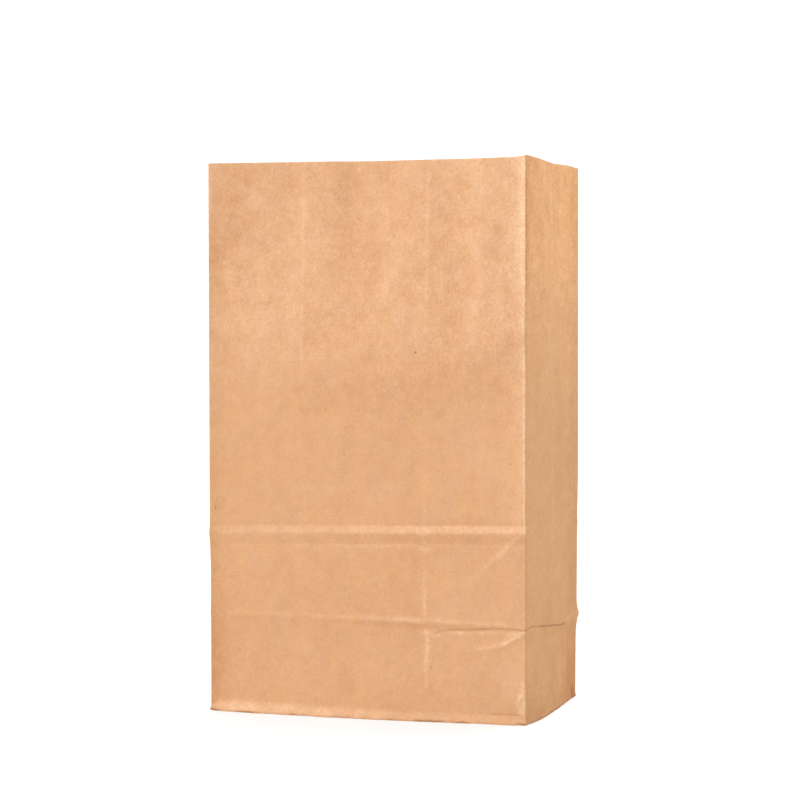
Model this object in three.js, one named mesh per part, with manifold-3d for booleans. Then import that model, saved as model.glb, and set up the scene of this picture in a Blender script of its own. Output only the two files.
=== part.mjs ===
// Open paper bread bag with a folded block bottom, standing empty. One sheet of kraft paper is
// folded into a tube of four panels, with a gusset crease down the middle of each side panel, and
// its lower end is folded and glued into a flat base. Millimetres, +Z up, +X to the right of the
// wide front panel, which faces -Y. The origin is at the middle of the base, on the ground.
import * as THREE from 'three';
import { mergeVertices } from 'three/addons/utils/BufferGeometryUtils.js';
import ManifoldModule from 'manifold-3d';

// ---------------------------------------------------------------- driving dimensions
const WIDTH = 180; // front and back panels
const DEPTH = 105; // side panels, which fold in as gussets when the bag is stored flat
const HEIGHT = 300; // base to rim
const WALL = 0.6; // thickness of the standing paper
const BASE = 1.4; // thickness of the glued layers of the base
const HALF_WIDTH = WIDTH / 2;
const HALF_DEPTH = DEPTH / 2;

// The base folds flat against the front panel in storage, which marks the panels at half a
// depth and at one depth above the ground. Both marks drift a little from those heights.
const LOWER_FOLD = HALF_DEPTH;
const UPPER_FOLD = DEPTH;
const BEND = 195; // soft bend, above which the panels lean inwards

const FOOT_ROUND = 0.8; // radius of the edge between the wall and the base
const FOOT_HEIGHT = 5; // flared foot, bent by the base fold
const FLARE_REACH = 12; // the flare is half at a corner fold and full this far from it
const BULGE_TOP = 48; // the lowest part of a panel bulges, up to here

const PINCH_REACH = 12; // distance from a corner fold over which a panel falls back
const GUSSET_TOP = 290; // the gusset crease is deepest from here up

const LAP_WIDTH = 12; // glued lap down the middle of the back panel
const LAP_STEP = 0.4;

// Flaps of the base, seen from below: the front flap is glued over the back flap.
const FLAP_OVERLAP = 9.5; // how far the front flap reaches past the middle
const EDGE_BAND = 3; // folded edge that stays level with the front flap
const FLAP_RECESS = 0.35;
const TRIANGLE_RECESS = 0.7;

// ---------------------------------------------------------------- mesh density
const CORNER_STATIONS = [0, 1.5, 5, 10, 18]; // columns, by distance from a corner fold
const LARGEST_COLUMN = 10;
const FREE_OF_CORNER = 1.5; // relief starts this far from a corner fold

const PAPER = { color: 0xe6b084, roughness: 0.86, metalness: 0 };

// ---------------------------------------------------------------- how the sheet sits
// Corner folds, counter-clockwise seen from above, with [height, x drift, y drift] knots.
const CORNERS = [
  {
    x: -HALF_WIDTH,
    y: -HALF_DEPTH,
    drift: [[0, 0.6, -1.1], [78, 0.35, -0.9], [96, -0.25, -0.8], [HEIGHT, -0.9, -0.3]],
  },
  {
    x: HALF_WIDTH,
    y: -HALF_DEPTH,
    drift: [[0, -1.6, 0], [45, -1.4, -0.4], [150, -1.45, -1.3], [HEIGHT, -1.15, -2.7]],
  },
  {
    x: HALF_WIDTH,
    y: HALF_DEPTH,
    drift: [[0, 0.5, 2.2], [LOWER_FOLD - 14, 0.7, 2.2], [LOWER_FOLD - 9, 1.3, 2.2],
      [LOWER_FOLD - 5, 2.5, 2.2], [LOWER_FOLD + 1, 1.2, 2.2], [UPPER_FOLD, 1.5, 2.1],
      [125, 1.9, 2.1], [HEIGHT, 1.6, 2]],
  },
  { x: -HALF_WIDTH, y: HALF_DEPTH, drift: [[0, 0, 1.2], [HEIGHT, 0.5, 1.6]] },
];

// One panel runs from each corner fold to the next. Its knots are [place, value]: the place
// is -1 at its first corner fold, 0 in the middle and 1 at its last, and the value is the
// drift of a level from its named height, the height of a fold mark above the panel, or for
// bulge how far the lowest part of the panel stands out.
// pinch: how far the panel sits inside the line between its corner folds. flare: of the foot.
// lean: how far the middle of the rim comes in. marks: columns for creases that stand upright.
// crease: the profile of the gusset crease, as [distance from it, height].
const PANELS = [
  {
    name: 'front',
    half: HALF_WIDTH,
    lowerFold: [[-1, 0.9], [0.21, 0], [0.42, -5], [0.64, -2.8], [0.87, -1.5], [1, -2.2]],
    upperFold: [[-1, -6.8], [0, -5], [1, -3]],
    upperHeight: [[-1, 0.37], [-0.85, 0.5], [-0.4, 0.66], [0.1, 0.85], [1, 1.05]],
    lowerHeight: [[-1, 0.15], [-0.2, 0.32], [0.15, 0.5], [1, 0.6]],
    bend: [[-1, 12], [-0.37, -12], [0.63, 3], [1, 11]],
    rim: [[-1, -0.2], [-0.6, -0.1], [0, -0.5], [0.44, -0.6], [0.85, -0.7], [0.96, -0.5], [1, 0.1]],
    bulge: [[-1, 0], [-0.6, 2.4], [0, 3.2], [0.45, 1.8], [0.8, 0.2], [1, 0]],
    pinch: 1.4,
    flare: 2,
    lean: 6.5,
    marks: [-36, 33, 35],
  },
  {
    name: 'right',
    half: HALF_DEPTH,
    lowerFold: [[-1, -2.2], [-0.88, -1], [-0.36, -3.6], [0, -5.4], [0.42, -7.2], [1, -6]],
    upperFold: [[-1, -3], [1, -5]],
    upperHeight: [[-1, 0.45], [-0.5, 0.2], [0, 0.15], [1, 0.2]],
    lowerHeight: [[-1, 0.6], [0, 0.4], [1, 0.6]],
    bend: [[-1, 11], [0, -4], [1, 4]],
    rim: [[-1, 0.2], [-0.5, 0.2], [0.08, -0.1], [0.7, 0.4], [1, 0.3]],
    bulge: [[-1, 0.5], [-0.5, 2.7], [-0.2, 2.4], [0.2, 1.5], [0.6, 0.5], [1, 0]],
    pinch: 0.5,
    flare: 0.7,
    lean: 0,
    marks: [1.5],
    crease: [[-48, 0.2], [-36, 0.9], [-22, 0.9], [-8, -0.1], [0, -0.8], [9, -0.1], [34, 0.2]],
  },
  {
    name: 'back',
    half: HALF_WIDTH,
    lowerFold: [[-1, -6], [-0.33, -1.5], [1, -0.5]],
    upperFold: [[-1, -5], [1, -4]],
    upperHeight: [[-1, 0.25], [1, 0.25]],
    lowerHeight: [[-1, 0.45], [-0.4, 0.3], [0.3, 0.2], [1, 0.3]],
    bend: [[-1, 4], [0.22, -9], [1, 6]],
    rim: [[-1, 0.3], [0.11, -0.4], [1, 0]],
    bulge: [[-1, 0], [-0.5, 0.9], [0, 1.3], [0.6, 0.9], [1, 0]],
    pinch: 1.3,
    flare: 1.6,
    lean: 6,
    marks: [-LAP_WIDTH / 2, LAP_WIDTH / 2, LAP_WIDTH / 2 + LAP_STEP],
  },
  {
    name: 'left',
    half: HALF_DEPTH,
    lowerFold: [[-1, -0.5], [0, -3], [1, 0.9]],
    upperFold: [[-1, -4], [1, -6.8]],
    upperHeight: [[-1, 0.23], [0, 0.14], [1, 0.28]],
    lowerHeight: [[-1, 0.5], [0.2, 0.4], [1, 0.3]],
    bend: [[-1, 6], [0.1, -5], [1, 12]],
    rim: [[-1, 0], [-0.1, -0.5], [1, -0.2]],
    bulge: [[-1, 0], [-0.4, 0.9], [0.3, 0.7], [1, 0]],
    pinch: 0.7,
    flare: 1.2,
    lean: 1.5,
    marks: [-1],
    crease: [[-34, 0], [0, -1.4], [34, 0]],
  },
];
const [FRONT, RIGHT, BACK, LEFT] = PANELS;

// Wide soft flutes that run down from the rim of the wide panels: [distance, height], seen
// from the front; the back panel has the same ones behind them.
const FLUTES = [[-90, 0], [-70, -0.4], [-46, -0.5], [-30, 0.5], [-22, 0.7], [-6, -0.8],
  [10, -0.6], [26, 0.5], [34, 0.6], [50, -0.7], [54, -0.7], [66, 0.5], [90, 0]];
const FLUTE_FOOT = 196; // the flutes start here and are full at FLUTE_TOP
const FLUTE_TOP = 280;

// Rows of the wall: a level that follows the sheet, the distance above it, and the number of
// steps up to the next row in this list.
const ROWS = [
  { level: 'ground', above: 0, steps: 1 },
  { level: 'ground', above: FOOT_ROUND, steps: 1 },
  { level: 'ground', above: FOOT_HEIGHT, steps: 3 },
  { level: 'lowerFold', above: -7, steps: 1 },
  { level: 'lowerFold', above: -1.2, steps: 1 },
  { level: 'lowerFold', above: 0, steps: 1 },
  { level: 'lowerFold', above: 3, steps: 1 },
  { level: 'lowerFold', above: 10, steps: 2 },
  { level: 'upperFold', above: -6, steps: 1 },
  { level: 'upperFold', above: 0, steps: 1 },
  { level: 'upperFold', above: 3.8, steps: 3 },
  { level: 'bend', above: -32, steps: 2 },
  { level: 'bend', above: 0, steps: 1 },
  { level: 'bend', above: 14, steps: 3 },
  { level: 'rim', above: -24, steps: 2 },
  { level: 'rim', above: 0, steps: 0 },
];

// ---------------------------------------------------------------- small helpers
/** Value of piecewise-linear knots at a position; column picks which value of each knot. */
function along(knots, position, column = 1) {
  const next = knots.findIndex((knot) => knot[0] > position);
  if (next === 0) return knots[0][column];
  if (next < 0) return knots[knots.length - 1][column];
  const [a, b] = [knots[next - 1], knots[next]];
  return THREE.MathUtils.mapLinear(position, a[0], b[0], a[column], b[column]);
}

/** Ridge of unit height at 0, which falls in straight flanks to 0 at -below and at above. */
function ridge(distance, below, above) {
  const reach = distance < 0 ? below : above;
  return Math.max(0, 1 - Math.abs(distance) / reach);
}

/** Smooth hump of unit height at 0 with the given half width. */
function hump(distance, halfWidth) {
  return Math.exp(-((distance / halfWidth) ** 2));
}

/** Distance of a point from a straight crease, both given as [along the panel, height]. */
function creaseDistance(point, from, to) {
  const line = new THREE.Line3(new THREE.Vector3(...from), new THREE.Vector3(...to));
  const here = new THREE.Vector3(...point);
  return line.closestPointToPoint(here, true, new THREE.Vector3()).distanceTo(here);
}

// ---------------------------------------------------------------- levels of the sheet
/** Height of a named level at a distance along a panel. */
function levelHeight(panel, level, s) {
  if (level === 'ground') return 0;
  const nominal = { lowerFold: LOWER_FOLD, upperFold: UPPER_FOLD, bend: BEND, rim: HEIGHT };
  return nominal[level] + along(panel[level], s / panel.half);
}

/** Heights of all rows at one column, from the ground to the rim. */
function rowHeights(panel, s) {
  const heights = [];
  ROWS.forEach((row, index) => {
    const low = levelHeight(panel, row.level, s) + row.above;
    if (row.steps === 0) return heights.push(low);
    const nextRow = ROWS[index + 1];
    const high = levelHeight(panel, nextRow.level, s) + nextRow.above;
    for (let step = 0; step < row.steps; step++) {
      heights.push(THREE.MathUtils.lerp(low, high, step / row.steps));
    }
    return heights;
  });
  return heights;
}

/** Columns of a panel, from its first corner fold up to, and without, its last. */
function columns(panel) {
  const fixed = [
    ...CORNER_STATIONS.map((distance) => -panel.half + distance),
    ...panel.marks,
    ...CORNER_STATIONS.map((distance) => panel.half - distance),
  ].sort((a, b) => a - b);
  const stations = [];
  for (let i = 0; i + 1 < fixed.length; i++) {
    const count = Math.ceil((fixed[i + 1] - fixed[i]) / LARGEST_COLUMN);
    for (let step = 0; step < count; step++) {
      stations.push(THREE.MathUtils.lerp(fixed[i], fixed[i + 1], step / count));
    }
  }
  return stations;
}

// ---------------------------------------------------------------- relief of the panels
/** The panel falls back from the pressed corner folds, which stand out as lips. */
function pinchedCorners(panel, s) {
  const fall = (distance) => 1 - Math.exp(-distance / PINCH_REACH);
  return -panel.pinch * fall(panel.half - s) * fall(panel.half + s);
}

/** Above the soft bend the panel leans in towards the rim; just below it the panel swells. */
function leanToRim(panel, s, z) {
  const bend = levelHeight(panel, 'bend', s);
  const middle = 1 - (Math.abs(s) / panel.half) ** 2.2;
  const rise = Math.max(0, (z - bend) / (HEIGHT - bend));
  const swell = ridge(z - bend, 45, 30);
  return middle * (1.3 * swell - panel.lean * rise ** 1.2);
}

/** Marks of the two folds that the base was pressed flat against. */
function foldMarks(panel, s, z) {
  const upper = along(panel.upperHeight, s / panel.half)
    * ridge(z - levelHeight(panel, 'upperFold', s), 6, 3.8);
  const lower = along(panel.lowerHeight, s / panel.half)
    * ridge(z - levelHeight(panel, 'lowerFold', s), 1.2, 10);
  return upper + lower;
}

/** Flutes of the wide panels; the narrow ones have none. */
function flutes(panel, s, z) {
  if (panel === RIGHT || panel === LEFT) return 0;
  const fade = THREE.MathUtils.smoothstep(z, FLUTE_FOOT, FLUTE_TOP);
  return fade * along(FLUTES, panel === FRONT ? s : -s);
}

/** The gusset crease of a side panel, with the diagonals from the base corners up to it. */
function gusset(panel, s, z) {
  if (panel === FRONT || panel === BACK) return 0;
  const meet = levelHeight(panel, 'lowerFold', 0);
  const rise = THREE.MathUtils.smoothstep(z, meet, GUSSET_TOP);
  const crease = rise * along(panel.crease, s - panel.marks[0]);
  const diagonals = [-panel.half, panel.half].map(
    (corner) => ridge(creaseDistance([s, z], [corner, 0], [0, meet]), 6, 6),
  );
  return crease + 0.3 * Math.max(...diagonals) * ridge(z - meet / 2, meet / 2, meet / 2);
}

/** Edge of the folded gusset, printed through the front panel right of its middle. */
function gussetImprint(panel, s, z) {
  if (panel !== FRONT) return 0;
  const fade = THREE.MathUtils.smoothstep(z, 14, 34) * THREE.MathUtils.smoothstep(125, z, 100);
  const [, before, after] = panel.marks;
  return 0.3 * THREE.MathUtils.clamp((s - before) / (after - before), 0, 1) * fade
    * ridge(s - after, 60, 16);
}

/** Two wrinkles that run from the near corner fold into the front panel. */
function cornerWrinkles(panel, s, z) {
  if (panel !== FRONT) return 0;
  const lower = ridge(creaseDistance([s, z], [88, 49], [62, 39]), 5, 5);
  const upper = ridge(creaseDistance([s, z], [88, 101], [50, 70]), 6, 6);
  const dent = hump(creaseDistance([s, z], [66, 17], [29, 17]), 9);
  return 0.6 * lower + 0.45 * upper - 0.5 * dent;
}

/** The glued lap stands one paper thickness proud, with its free edge on one side. */
function lap(panel, s) {
  if (panel !== BACK) return 0;
  const middle = panel.marks[1];
  return LAP_STEP * (s <= middle ? THREE.MathUtils.smoothstep(s, -30, -LAP_WIDTH / 2) : 0);
}

/** The lowest part bulges, and its last stretch flares out to the rounded edge of the base. */
function foot(panel, s, z) {
  const fromCorner = panel.half - Math.abs(s);
  const flare = panel.flare * Math.min(1, (1 + fromCorner / FLARE_REACH) / 2);
  const profile = [[0, flare - FOOT_ROUND], [FOOT_ROUND, flare], [FOOT_HEIGHT, 0]];
  const bulge = along(panel.bulge, s / panel.half);
  return along(profile, z) + bulge * (1 - THREE.MathUtils.smoothstep(z, 0, BULGE_TOP));
}

/** How far the outer face stands out from the straight line between the two corner folds. */
function standOut(panel, s, z) {
  const relief = pinchedCorners(panel, s) + leanToRim(panel, s, z) + flutes(panel, s, z)
    + gusset(panel, s, z) + gussetImprint(panel, s, z) + cornerWrinkles(panel, s, z)
    + lap(panel, s);
  const fromCorner = panel.half - Math.abs(s);
  const released = Math.min(1, fromCorner / FREE_OF_CORNER);
  return relief * released + foldMarks(panel, s, z) + foot(panel, s, z);
}

// ---------------------------------------------------------------- the sheet in space
/** Plan position of a corner fold at a height. */
function cornerAt(index, z) {
  const corner = CORNERS[index % CORNERS.length];
  const x = corner.x + along(corner.drift, z, 1);
  const y = corner.y + along(corner.drift, z, 2);
  return new THREE.Vector2(x, y);
}

/** Outward direction, in plan, of the panel that starts at a corner fold. */
function outward(index) {
  const run = cornerAt(index + 1, 0).sub(cornerAt(index, 0)).normalize();
  return new THREE.Vector2(run.y, -run.x);
}

/** Point of the sheet on a panel, moved inwards by the given distance. */
function sheetPoint(index, s, z, inset) {
  const panel = PANELS[index];
  const share = (s + panel.half) / (2 * panel.half);
  const plan = cornerAt(index, z).lerp(cornerAt(index + 1, z), share);
  const stand = standOut(panel, s, z) - inset;
  plan.addScaledVector(outward(index), stand);
  const onCorner = s === -panel.half;
  if (onCorner) plan.addScaledVector(outward(index + CORNERS.length - 1), stand);
  return new THREE.Vector3(plan.x, plan.y, z);
}

/** All columns of the tube, each as the index of its panel and the distance along it. */
function tubeColumns() {
  return PANELS.flatMap((panel, index) => columns(panel).map((s) => ({ panel, index, s })));
}

/** Rings of points up one face of the wall, one ring for each row. */
function faceRings(inset) {
  const rings = [];
  tubeColumns().forEach(({ panel, index, s }) => {
    rowHeights(panel, s).forEach((z, row) => {
      rings[row] ??= [];
      rings[row].push(sheetPoint(index, s, z, inset));
    });
  });
  return rings;
}

/** Triangles of a flat cap over a ring, facing up or down. */
function cap(ring, firstVertex, facesUp) {
  const outline = ring.map((point) => new THREE.Vector2(point.x, point.y));
  return THREE.ShapeUtils.triangulateShape(outline, []).flatMap(([a, b, c]) => {
    const order = facesUp ? [a, b, c] : [a, c, b];
    return order.map((vertex) => vertex + firstVertex);
  });
}

/** The closed body of the sheet: outer face, rim, inner face, floor and flat underside. */
function foldedSheet() {
  const outer = faceRings(0);
  const floorRing = tubeColumns().map(({ index, s }) => sheetPoint(index, s, BASE, WALL));
  const aboveFloor = faceRings(WALL).filter((ring) => ring[0].z > BASE);
  const rings = [...outer, ...aboveFloor.reverse(), floorRing];
  const size = floorRing.length;
  const index = cap(outer[0], 0, false);
  for (let row = 0; row + 1 < rings.length; row++) {
    for (let i = 0; i < size; i++) {
      const [a, b] = [row * size + i, row * size + ((i + 1) % size)];
      index.push(a, b, a + size, b, b + size, a + size);
    }
  }
  index.push(...cap(floorRing, (rings.length - 1) * size, true));
  const geometry = new THREE.BufferGeometry().setFromPoints(rings.flat());
  geometry.setIndex(index);
  return geometry;
}

// ---------------------------------------------------------------- folded base
/** Prism from below the ground up to a depth, over an outline in plan. */
function recess(outline, depth) {
  const shape = new THREE.Shape(outline.map(([x, y]) => new THREE.Vector2(x, y)));
  const below = 1;
  const settings = { depth: depth + below, bevelEnabled: false };
  return new THREE.ExtrudeGeometry(shape, settings).translate(0, 0, -below);
}

/** What the front flap doesn't cover lies higher: the back flap, and a triangle at each end. */
function baseRecesses() {
  const edgeX = HALF_WIDTH - EDGE_BAND;
  const edgeY = HALF_DEPTH - EDGE_BAND;
  const apex = HALF_WIDTH - HALF_DEPTH;
  const freeEdge = apex - FLAP_OVERLAP;
  const rear = apex + edgeY;
  const backFlap = [[-rear, edgeY], [-apex, 0], [-freeEdge, FLAP_OVERLAP],
    [freeEdge, FLAP_OVERLAP], [apex, 0], [rear, edgeY]];
  const side = edgeX - apex;
  const triangles = [-1, 1].map((end) => [[end * apex, 0], [end * edgeX, -side],
    [end * edgeX, side]]);
  return [
    recess(backFlap, FLAP_RECESS),
    ...triangles.map((triangle) => recess(triangle, TRIANGLE_RECESS)),
  ];
}

const manifold = await ManifoldModule();
manifold.setup();

/** Solid of a closed geometry. */
function toSolid(geometry) {
  const bare = geometry.clone();
  bare.deleteAttribute('normal');
  bare.deleteAttribute('uv');
  const merged = mergeVertices(bare);
  return new manifold.Manifold(new manifold.Mesh({
    numProp: 3,
    vertProperties: new Float32Array(merged.attributes.position.array),
    triVerts: new Uint32Array(merged.index.array),
  }));
}

/** Geometry of a solid. */
function toGeometry(solid) {
  const { vertProperties, triVerts } = solid.getMesh();
  const geometry = new THREE.BufferGeometry();
  geometry.setAttribute('position', new THREE.BufferAttribute(vertProperties, 3));
  geometry.setIndex(new THREE.BufferAttribute(triVerts, 1));
  geometry.computeVertexNormals();
  return geometry;
}

function makeBag() {
  const solid = baseRecesses().reduce(
    (bag, piece) => bag.subtract(toSolid(piece)),
    toSolid(foldedSheet()),
  );
  const material = new THREE.MeshStandardMaterial({ ...PAPER, flatShading: true });
  const mesh = new THREE.Mesh(toGeometry(solid), material);
  mesh.name = 'bag';
  return mesh;
}

const breadBag = new THREE.Group();
breadBag.add(makeBag());

export default breadBag;
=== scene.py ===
"""Open block-bottom bread bag of light kraft paper, standing empty on a pale studio floor.

One sheet is folded into a tube of four panels and glued into a flat base. The wide front
panel faces -Y, the gusset panels face +X and -X, and +Z is up. The sheet is written in
millimetres and turned into metres where its mesh is made. On a panel, x is the distance
from its middle, counter-clockwise seen from above, and z is the height.
"""

import logging
import math
from dataclasses import dataclass, field
from enum import Enum
from typing import Any, Callable, Sequence, Union

import bpy
import numpy as np
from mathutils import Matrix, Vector


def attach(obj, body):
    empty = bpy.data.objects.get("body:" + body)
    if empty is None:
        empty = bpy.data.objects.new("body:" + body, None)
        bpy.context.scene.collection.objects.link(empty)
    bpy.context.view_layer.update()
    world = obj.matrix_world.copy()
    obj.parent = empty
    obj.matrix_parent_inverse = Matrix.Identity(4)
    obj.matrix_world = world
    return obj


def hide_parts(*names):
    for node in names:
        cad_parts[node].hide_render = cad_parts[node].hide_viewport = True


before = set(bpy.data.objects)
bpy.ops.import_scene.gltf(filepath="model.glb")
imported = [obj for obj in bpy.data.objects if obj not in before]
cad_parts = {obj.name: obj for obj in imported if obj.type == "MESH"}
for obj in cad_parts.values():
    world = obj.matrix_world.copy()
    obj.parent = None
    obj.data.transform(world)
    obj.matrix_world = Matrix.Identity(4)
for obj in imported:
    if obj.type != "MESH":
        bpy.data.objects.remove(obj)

LOG = logging.getLogger("bread_bag")
MM = 0.001
Array = np.ndarray
Knot = tuple[float, float]
Knots = tuple[Knot, ...]
Colour = tuple[float, float, float]


# ---- curves and folds
def flowing(knots: Knots, at: Array) -> Array:
    """Smooth curve through knots, never above or below both of its neighbours.

    Args:
        knots: Points of (place, value), in rising order of place.
        at: Places to read.

    Returns:
        The values there; past the ends the curve stays level.
    """
    x, y = np.array(knots, float).T
    if len(x) == 1:
        return np.full(np.shape(at), y[0])
    rise = np.diff(y) / np.diff(x)
    steepest = 3 * np.minimum(np.abs(rise[1:]), np.abs(rise[:-1])) * (rise[1:] * rise[:-1] > 0)
    between = np.clip((rise[1:] + rise[:-1]) / 2, -steepest, steepest)
    slope = np.concatenate([[rise[0]], between, [rise[-1]]])
    at = np.clip(at, x[0], x[-1])
    i = np.clip(np.searchsorted(x, at, side="right") - 1, 0, len(x) - 2)
    span = x[i + 1] - x[i]
    t = (at - x[i]) / span
    start = (2 * t**3 - 3 * t**2 + 1) * y[i] + (t**3 - 2 * t**2 + t) * span * slope[i]
    end = (3 * t**2 - 2 * t**3) * y[i + 1] + (t**3 - t**2) * span * slope[i + 1]
    return start + end


def folded(knots: Knots, at: Array, rounding: float) -> Array:
    """Flat facets through knots, each fold between them rounded.

    Args:
        knots: Points of (place, value), in rising order of place.
        at: Places to read.
        rounding: Width over which a fold turns.

    Returns:
        The values there; past the ends the value stays level.
    """
    x, y = np.array(knots, float).T
    slope = np.concatenate([[0.0], np.diff(y) / np.diff(x), [0.0]])
    value = np.full(np.shape(at), y[0])
    for place, turn in zip(x, np.diff(slope)):
        past = at - place
        value = value + turn * (past + np.sqrt(past**2 + rounding**2)) / 2
    return value


def hump(distance: Array, width: float) -> Array:
    """Smooth hump of height 1 at distance 0."""
    return np.exp(-((distance / width) ** 2))


def ease(at: Array, low: float, high: float) -> Array:
    """Smooth step from 0 at low to 1 at high."""
    t = np.clip((at - low) / (high - low), 0, 1)
    return t * t * (3 - 2 * t)


def ragged(at: Array, seed: int, pitch: float) -> Array:
    """Uneven line between -1 and 1, with a seeded value at every pitch."""
    values = np.random.default_rng(seed).uniform(-1, 1, 400)
    return np.interp(at / pitch + 100, np.arange(400), values)


# ---- the sheet's panels
class Side(Enum):
    """The four panels, counter-clockwise seen from above."""

    FRONT = 0
    RIGHT = 1
    BACK = 2
    LEFT = 3


class Level(Enum):
    """A line round the bag that the rows of the mesh follow, with its nominal height."""

    GROUND = 0.0
    LIP = 49.0
    LOWER_FOLD = 52.5
    UPPER_FOLD = 105.0
    BEND = 195.0
    RIM = 300.0


@dataclass(frozen=True)
class Panel:
    """One panel, from its first corner fold (place -1) to its last (place 1).

    The level knots are (place, drift from the nominal height). The strengths are (place,
    height of the fold mark above the panel), the bulge (place, how far the foot stands out).
    The lowest stretch flares out by flare, the rim leans in, and the corner folds are lips.
    """

    side: Side
    half: float
    lip: Knots
    lower_fold: Knots
    lower_strength: Knots
    upper_fold: Knots
    upper_strength: Knots
    bend: Knots
    rim: Knots
    foot: Knots
    ground: Knots
    bulge: Knots
    flare: float
    lean: float
    lips: float
    creases: tuple[float, ...]

    def height(self, level: Level, x: Array) -> Array:
        """Height of a level along the panel.

        Args:
            level: The level.
            x: Distances from the panel's middle.

        Returns:
            The heights of the level there.
        """
        drifts = {
            Level.GROUND: self.ground,
            Level.LIP: self.lip,
            Level.LOWER_FOLD: self.lower_fold,
            Level.UPPER_FOLD: self.upper_fold,
            Level.BEND: self.bend,
            Level.RIM: self.rim,
        }
        jag = 0.25 if level is Level.GROUND else 0.0
        uneven = jag * ease(ragged(x, 60 + self.side.value, 3.1), -0.2, 1.0)
        return level.value + flowing(drifts[level], x / self.half) + uneven


@dataclass(frozen=True)
class Crease:
    """A line pressed into one panel.

    Attributes:
        path: Its points, as (x, z).
        profile: Knots of (distance, relief); above a line that runs to the right is positive.
        rounding: Width over which its folds turn.
        worn: Pale wear and painted highlight on the line, from 0 to 1, over the half width spread.
        soil: Painted shade on the line, from 0 to 1.
        fades: Length over which it dies out at its first and its last point.
        tone: Painted light, as a share, over the half width reach; below zero it is painted shade.
    """

    path: Knots
    profile: Knots
    rounding: float = 0.4
    worn: float = 0.0
    spread: float = 0.9
    soil: float = 0.0
    fades: Knot = (8.0, 8.0)
    tone: float = 0.0
    reach: float = 7.0

    def measure(self, x: Array, z: Array) -> tuple[Array, Array]:
        """Reads the line at points of the panel.

        Args:
            x: Distances from the panel's middle.
            z: Heights.

        Returns:
            The signed distance from the line, and its strength there.
        """
        points = self._smooth_path()
        steps = np.diff(points, axis=0)
        lengths = np.hypot(*steps.T)
        starts = np.concatenate([[0], np.cumsum(lengths)[:-1]])
        nearest = np.full(x.shape, np.inf)
        signed, travelled = np.zeros(x.shape), np.zeros(x.shape)
        for (from_x, from_z), (dx, dz), length, start in zip(points, steps, lengths, starts):
            share = np.clip(((x - from_x) * dx + (z - from_z) * dz) / length**2, 0, 1)
            gap_x, gap_z = x - from_x - share * dx, z - from_z - share * dz
            gap = np.hypot(gap_x, gap_z)
            closer = gap < nearest
            nearest = np.where(closer, gap, nearest)
            signed = np.where(closer, gap * np.sign(dx * gap_z - dz * gap_x), signed)
            travelled = np.where(closer, start + share * length, travelled)
        strength = np.ones(x.shape)
        for fade, gone in zip(self.fades, (travelled, lengths.sum() - travelled)):
            strength = strength * (ease(gone, 0, fade) if fade else 1.0)
        return signed, strength

    def _smooth_path(self) -> Array:
        """Close points along the smooth line through the path's own points.

        Returns:
            The points, as (number, xz).
        """
        points = np.array(self.path, float)
        run = np.concatenate([[0], np.cumsum(np.hypot(*np.diff(points, axis=0).T))])
        at = np.linspace(0, run[-1], 1 + 8 * (len(points) - 1))
        return np.stack([flowing(tuple(zip(run, values)), at) for values in points.T], 1)


@dataclass(frozen=True)
class Undulation:
    """Uneven swell of the paper, without a seam round the tube, from seeded waves."""

    seed: int
    round_trip: float
    waves: int
    shortest: float
    longest: float
    height: float
    upright: float

    def relief(self, around: Array, z: Array) -> Array:
        """Relief at perimeter distances and heights.

        Args:
            around: Distances round the tube.
            z: Heights.

        Returns:
            The relief there.
        """
        rng = np.random.default_rng(self.seed)
        total = np.zeros(np.broadcast(around, z).shape)
        for _ in range(self.waves):
            wavelength = self.shortest * (self.longest / self.shortest) ** rng.random()
            angle = rng.random() * math.pi
            turns = round(self.round_trip * math.cos(angle) / wavelength)
            rate = 2 * math.pi * math.sin(angle) / (wavelength * self.upright)
            phase = rng.random() * 2 * math.pi
            turn = 2 * math.pi * turns * around / self.round_trip
            size = self.height * wavelength / self.longest
            total = total + size * np.sin(turn + rate * z + phase)
        return total / math.sqrt(self.waves)


@dataclass(frozen=True)
class CornerFold:
    """A corner fold of the tube: its nominal place in plan, and its drift with height."""

    x: float
    y: float
    drift_x: Knots
    drift_y: Knots

    def place(self, z: Array) -> Array:
        """Plan position at heights, as an array that ends in (x, y)."""
        drifts = (self.drift_x, self.drift_y)
        return np.stack([c + folded(d, z, 2.0) for c, d in zip((self.x, self.y), drifts)], -1)


HALF_WIDTH = 90.0
HALF_DEPTH = 52.5

# Seen from above, each panel runs from the corner with its own number to the next.
CORNERS = (
    CornerFold(
        -HALF_WIDTH, -HALF_DEPTH, ((0, 0.6), (78, 0.35), (96, -0.25), (300, -0.9)),
        ((0, -1.1), (300, -0.3)),
    ),
    CornerFold(
        HALF_WIDTH, -HALF_DEPTH,
        ((0, -1.6), (45, -1.35), (75, -1.25), (150, -1.45), (200, -1.25), (300, -1.15)),
        ((0, 0), (300, -2.7)),
    ),
    CornerFold(
        HALF_WIDTH, HALF_DEPTH,
        ((0, 0.5), (38, 0.7), (43, 1.3), (48, 2.5), (54, 1.2), (105, 1.5), (125, 1.9), (300, 1.6)),
        ((0, 2.2), (300, 2.0)),
    ),
    CornerFold(-HALF_WIDTH, HALF_DEPTH, ((0, 0), (300, 0.5)), ((0, 1.2), (300, 1.6))),
)

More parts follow.
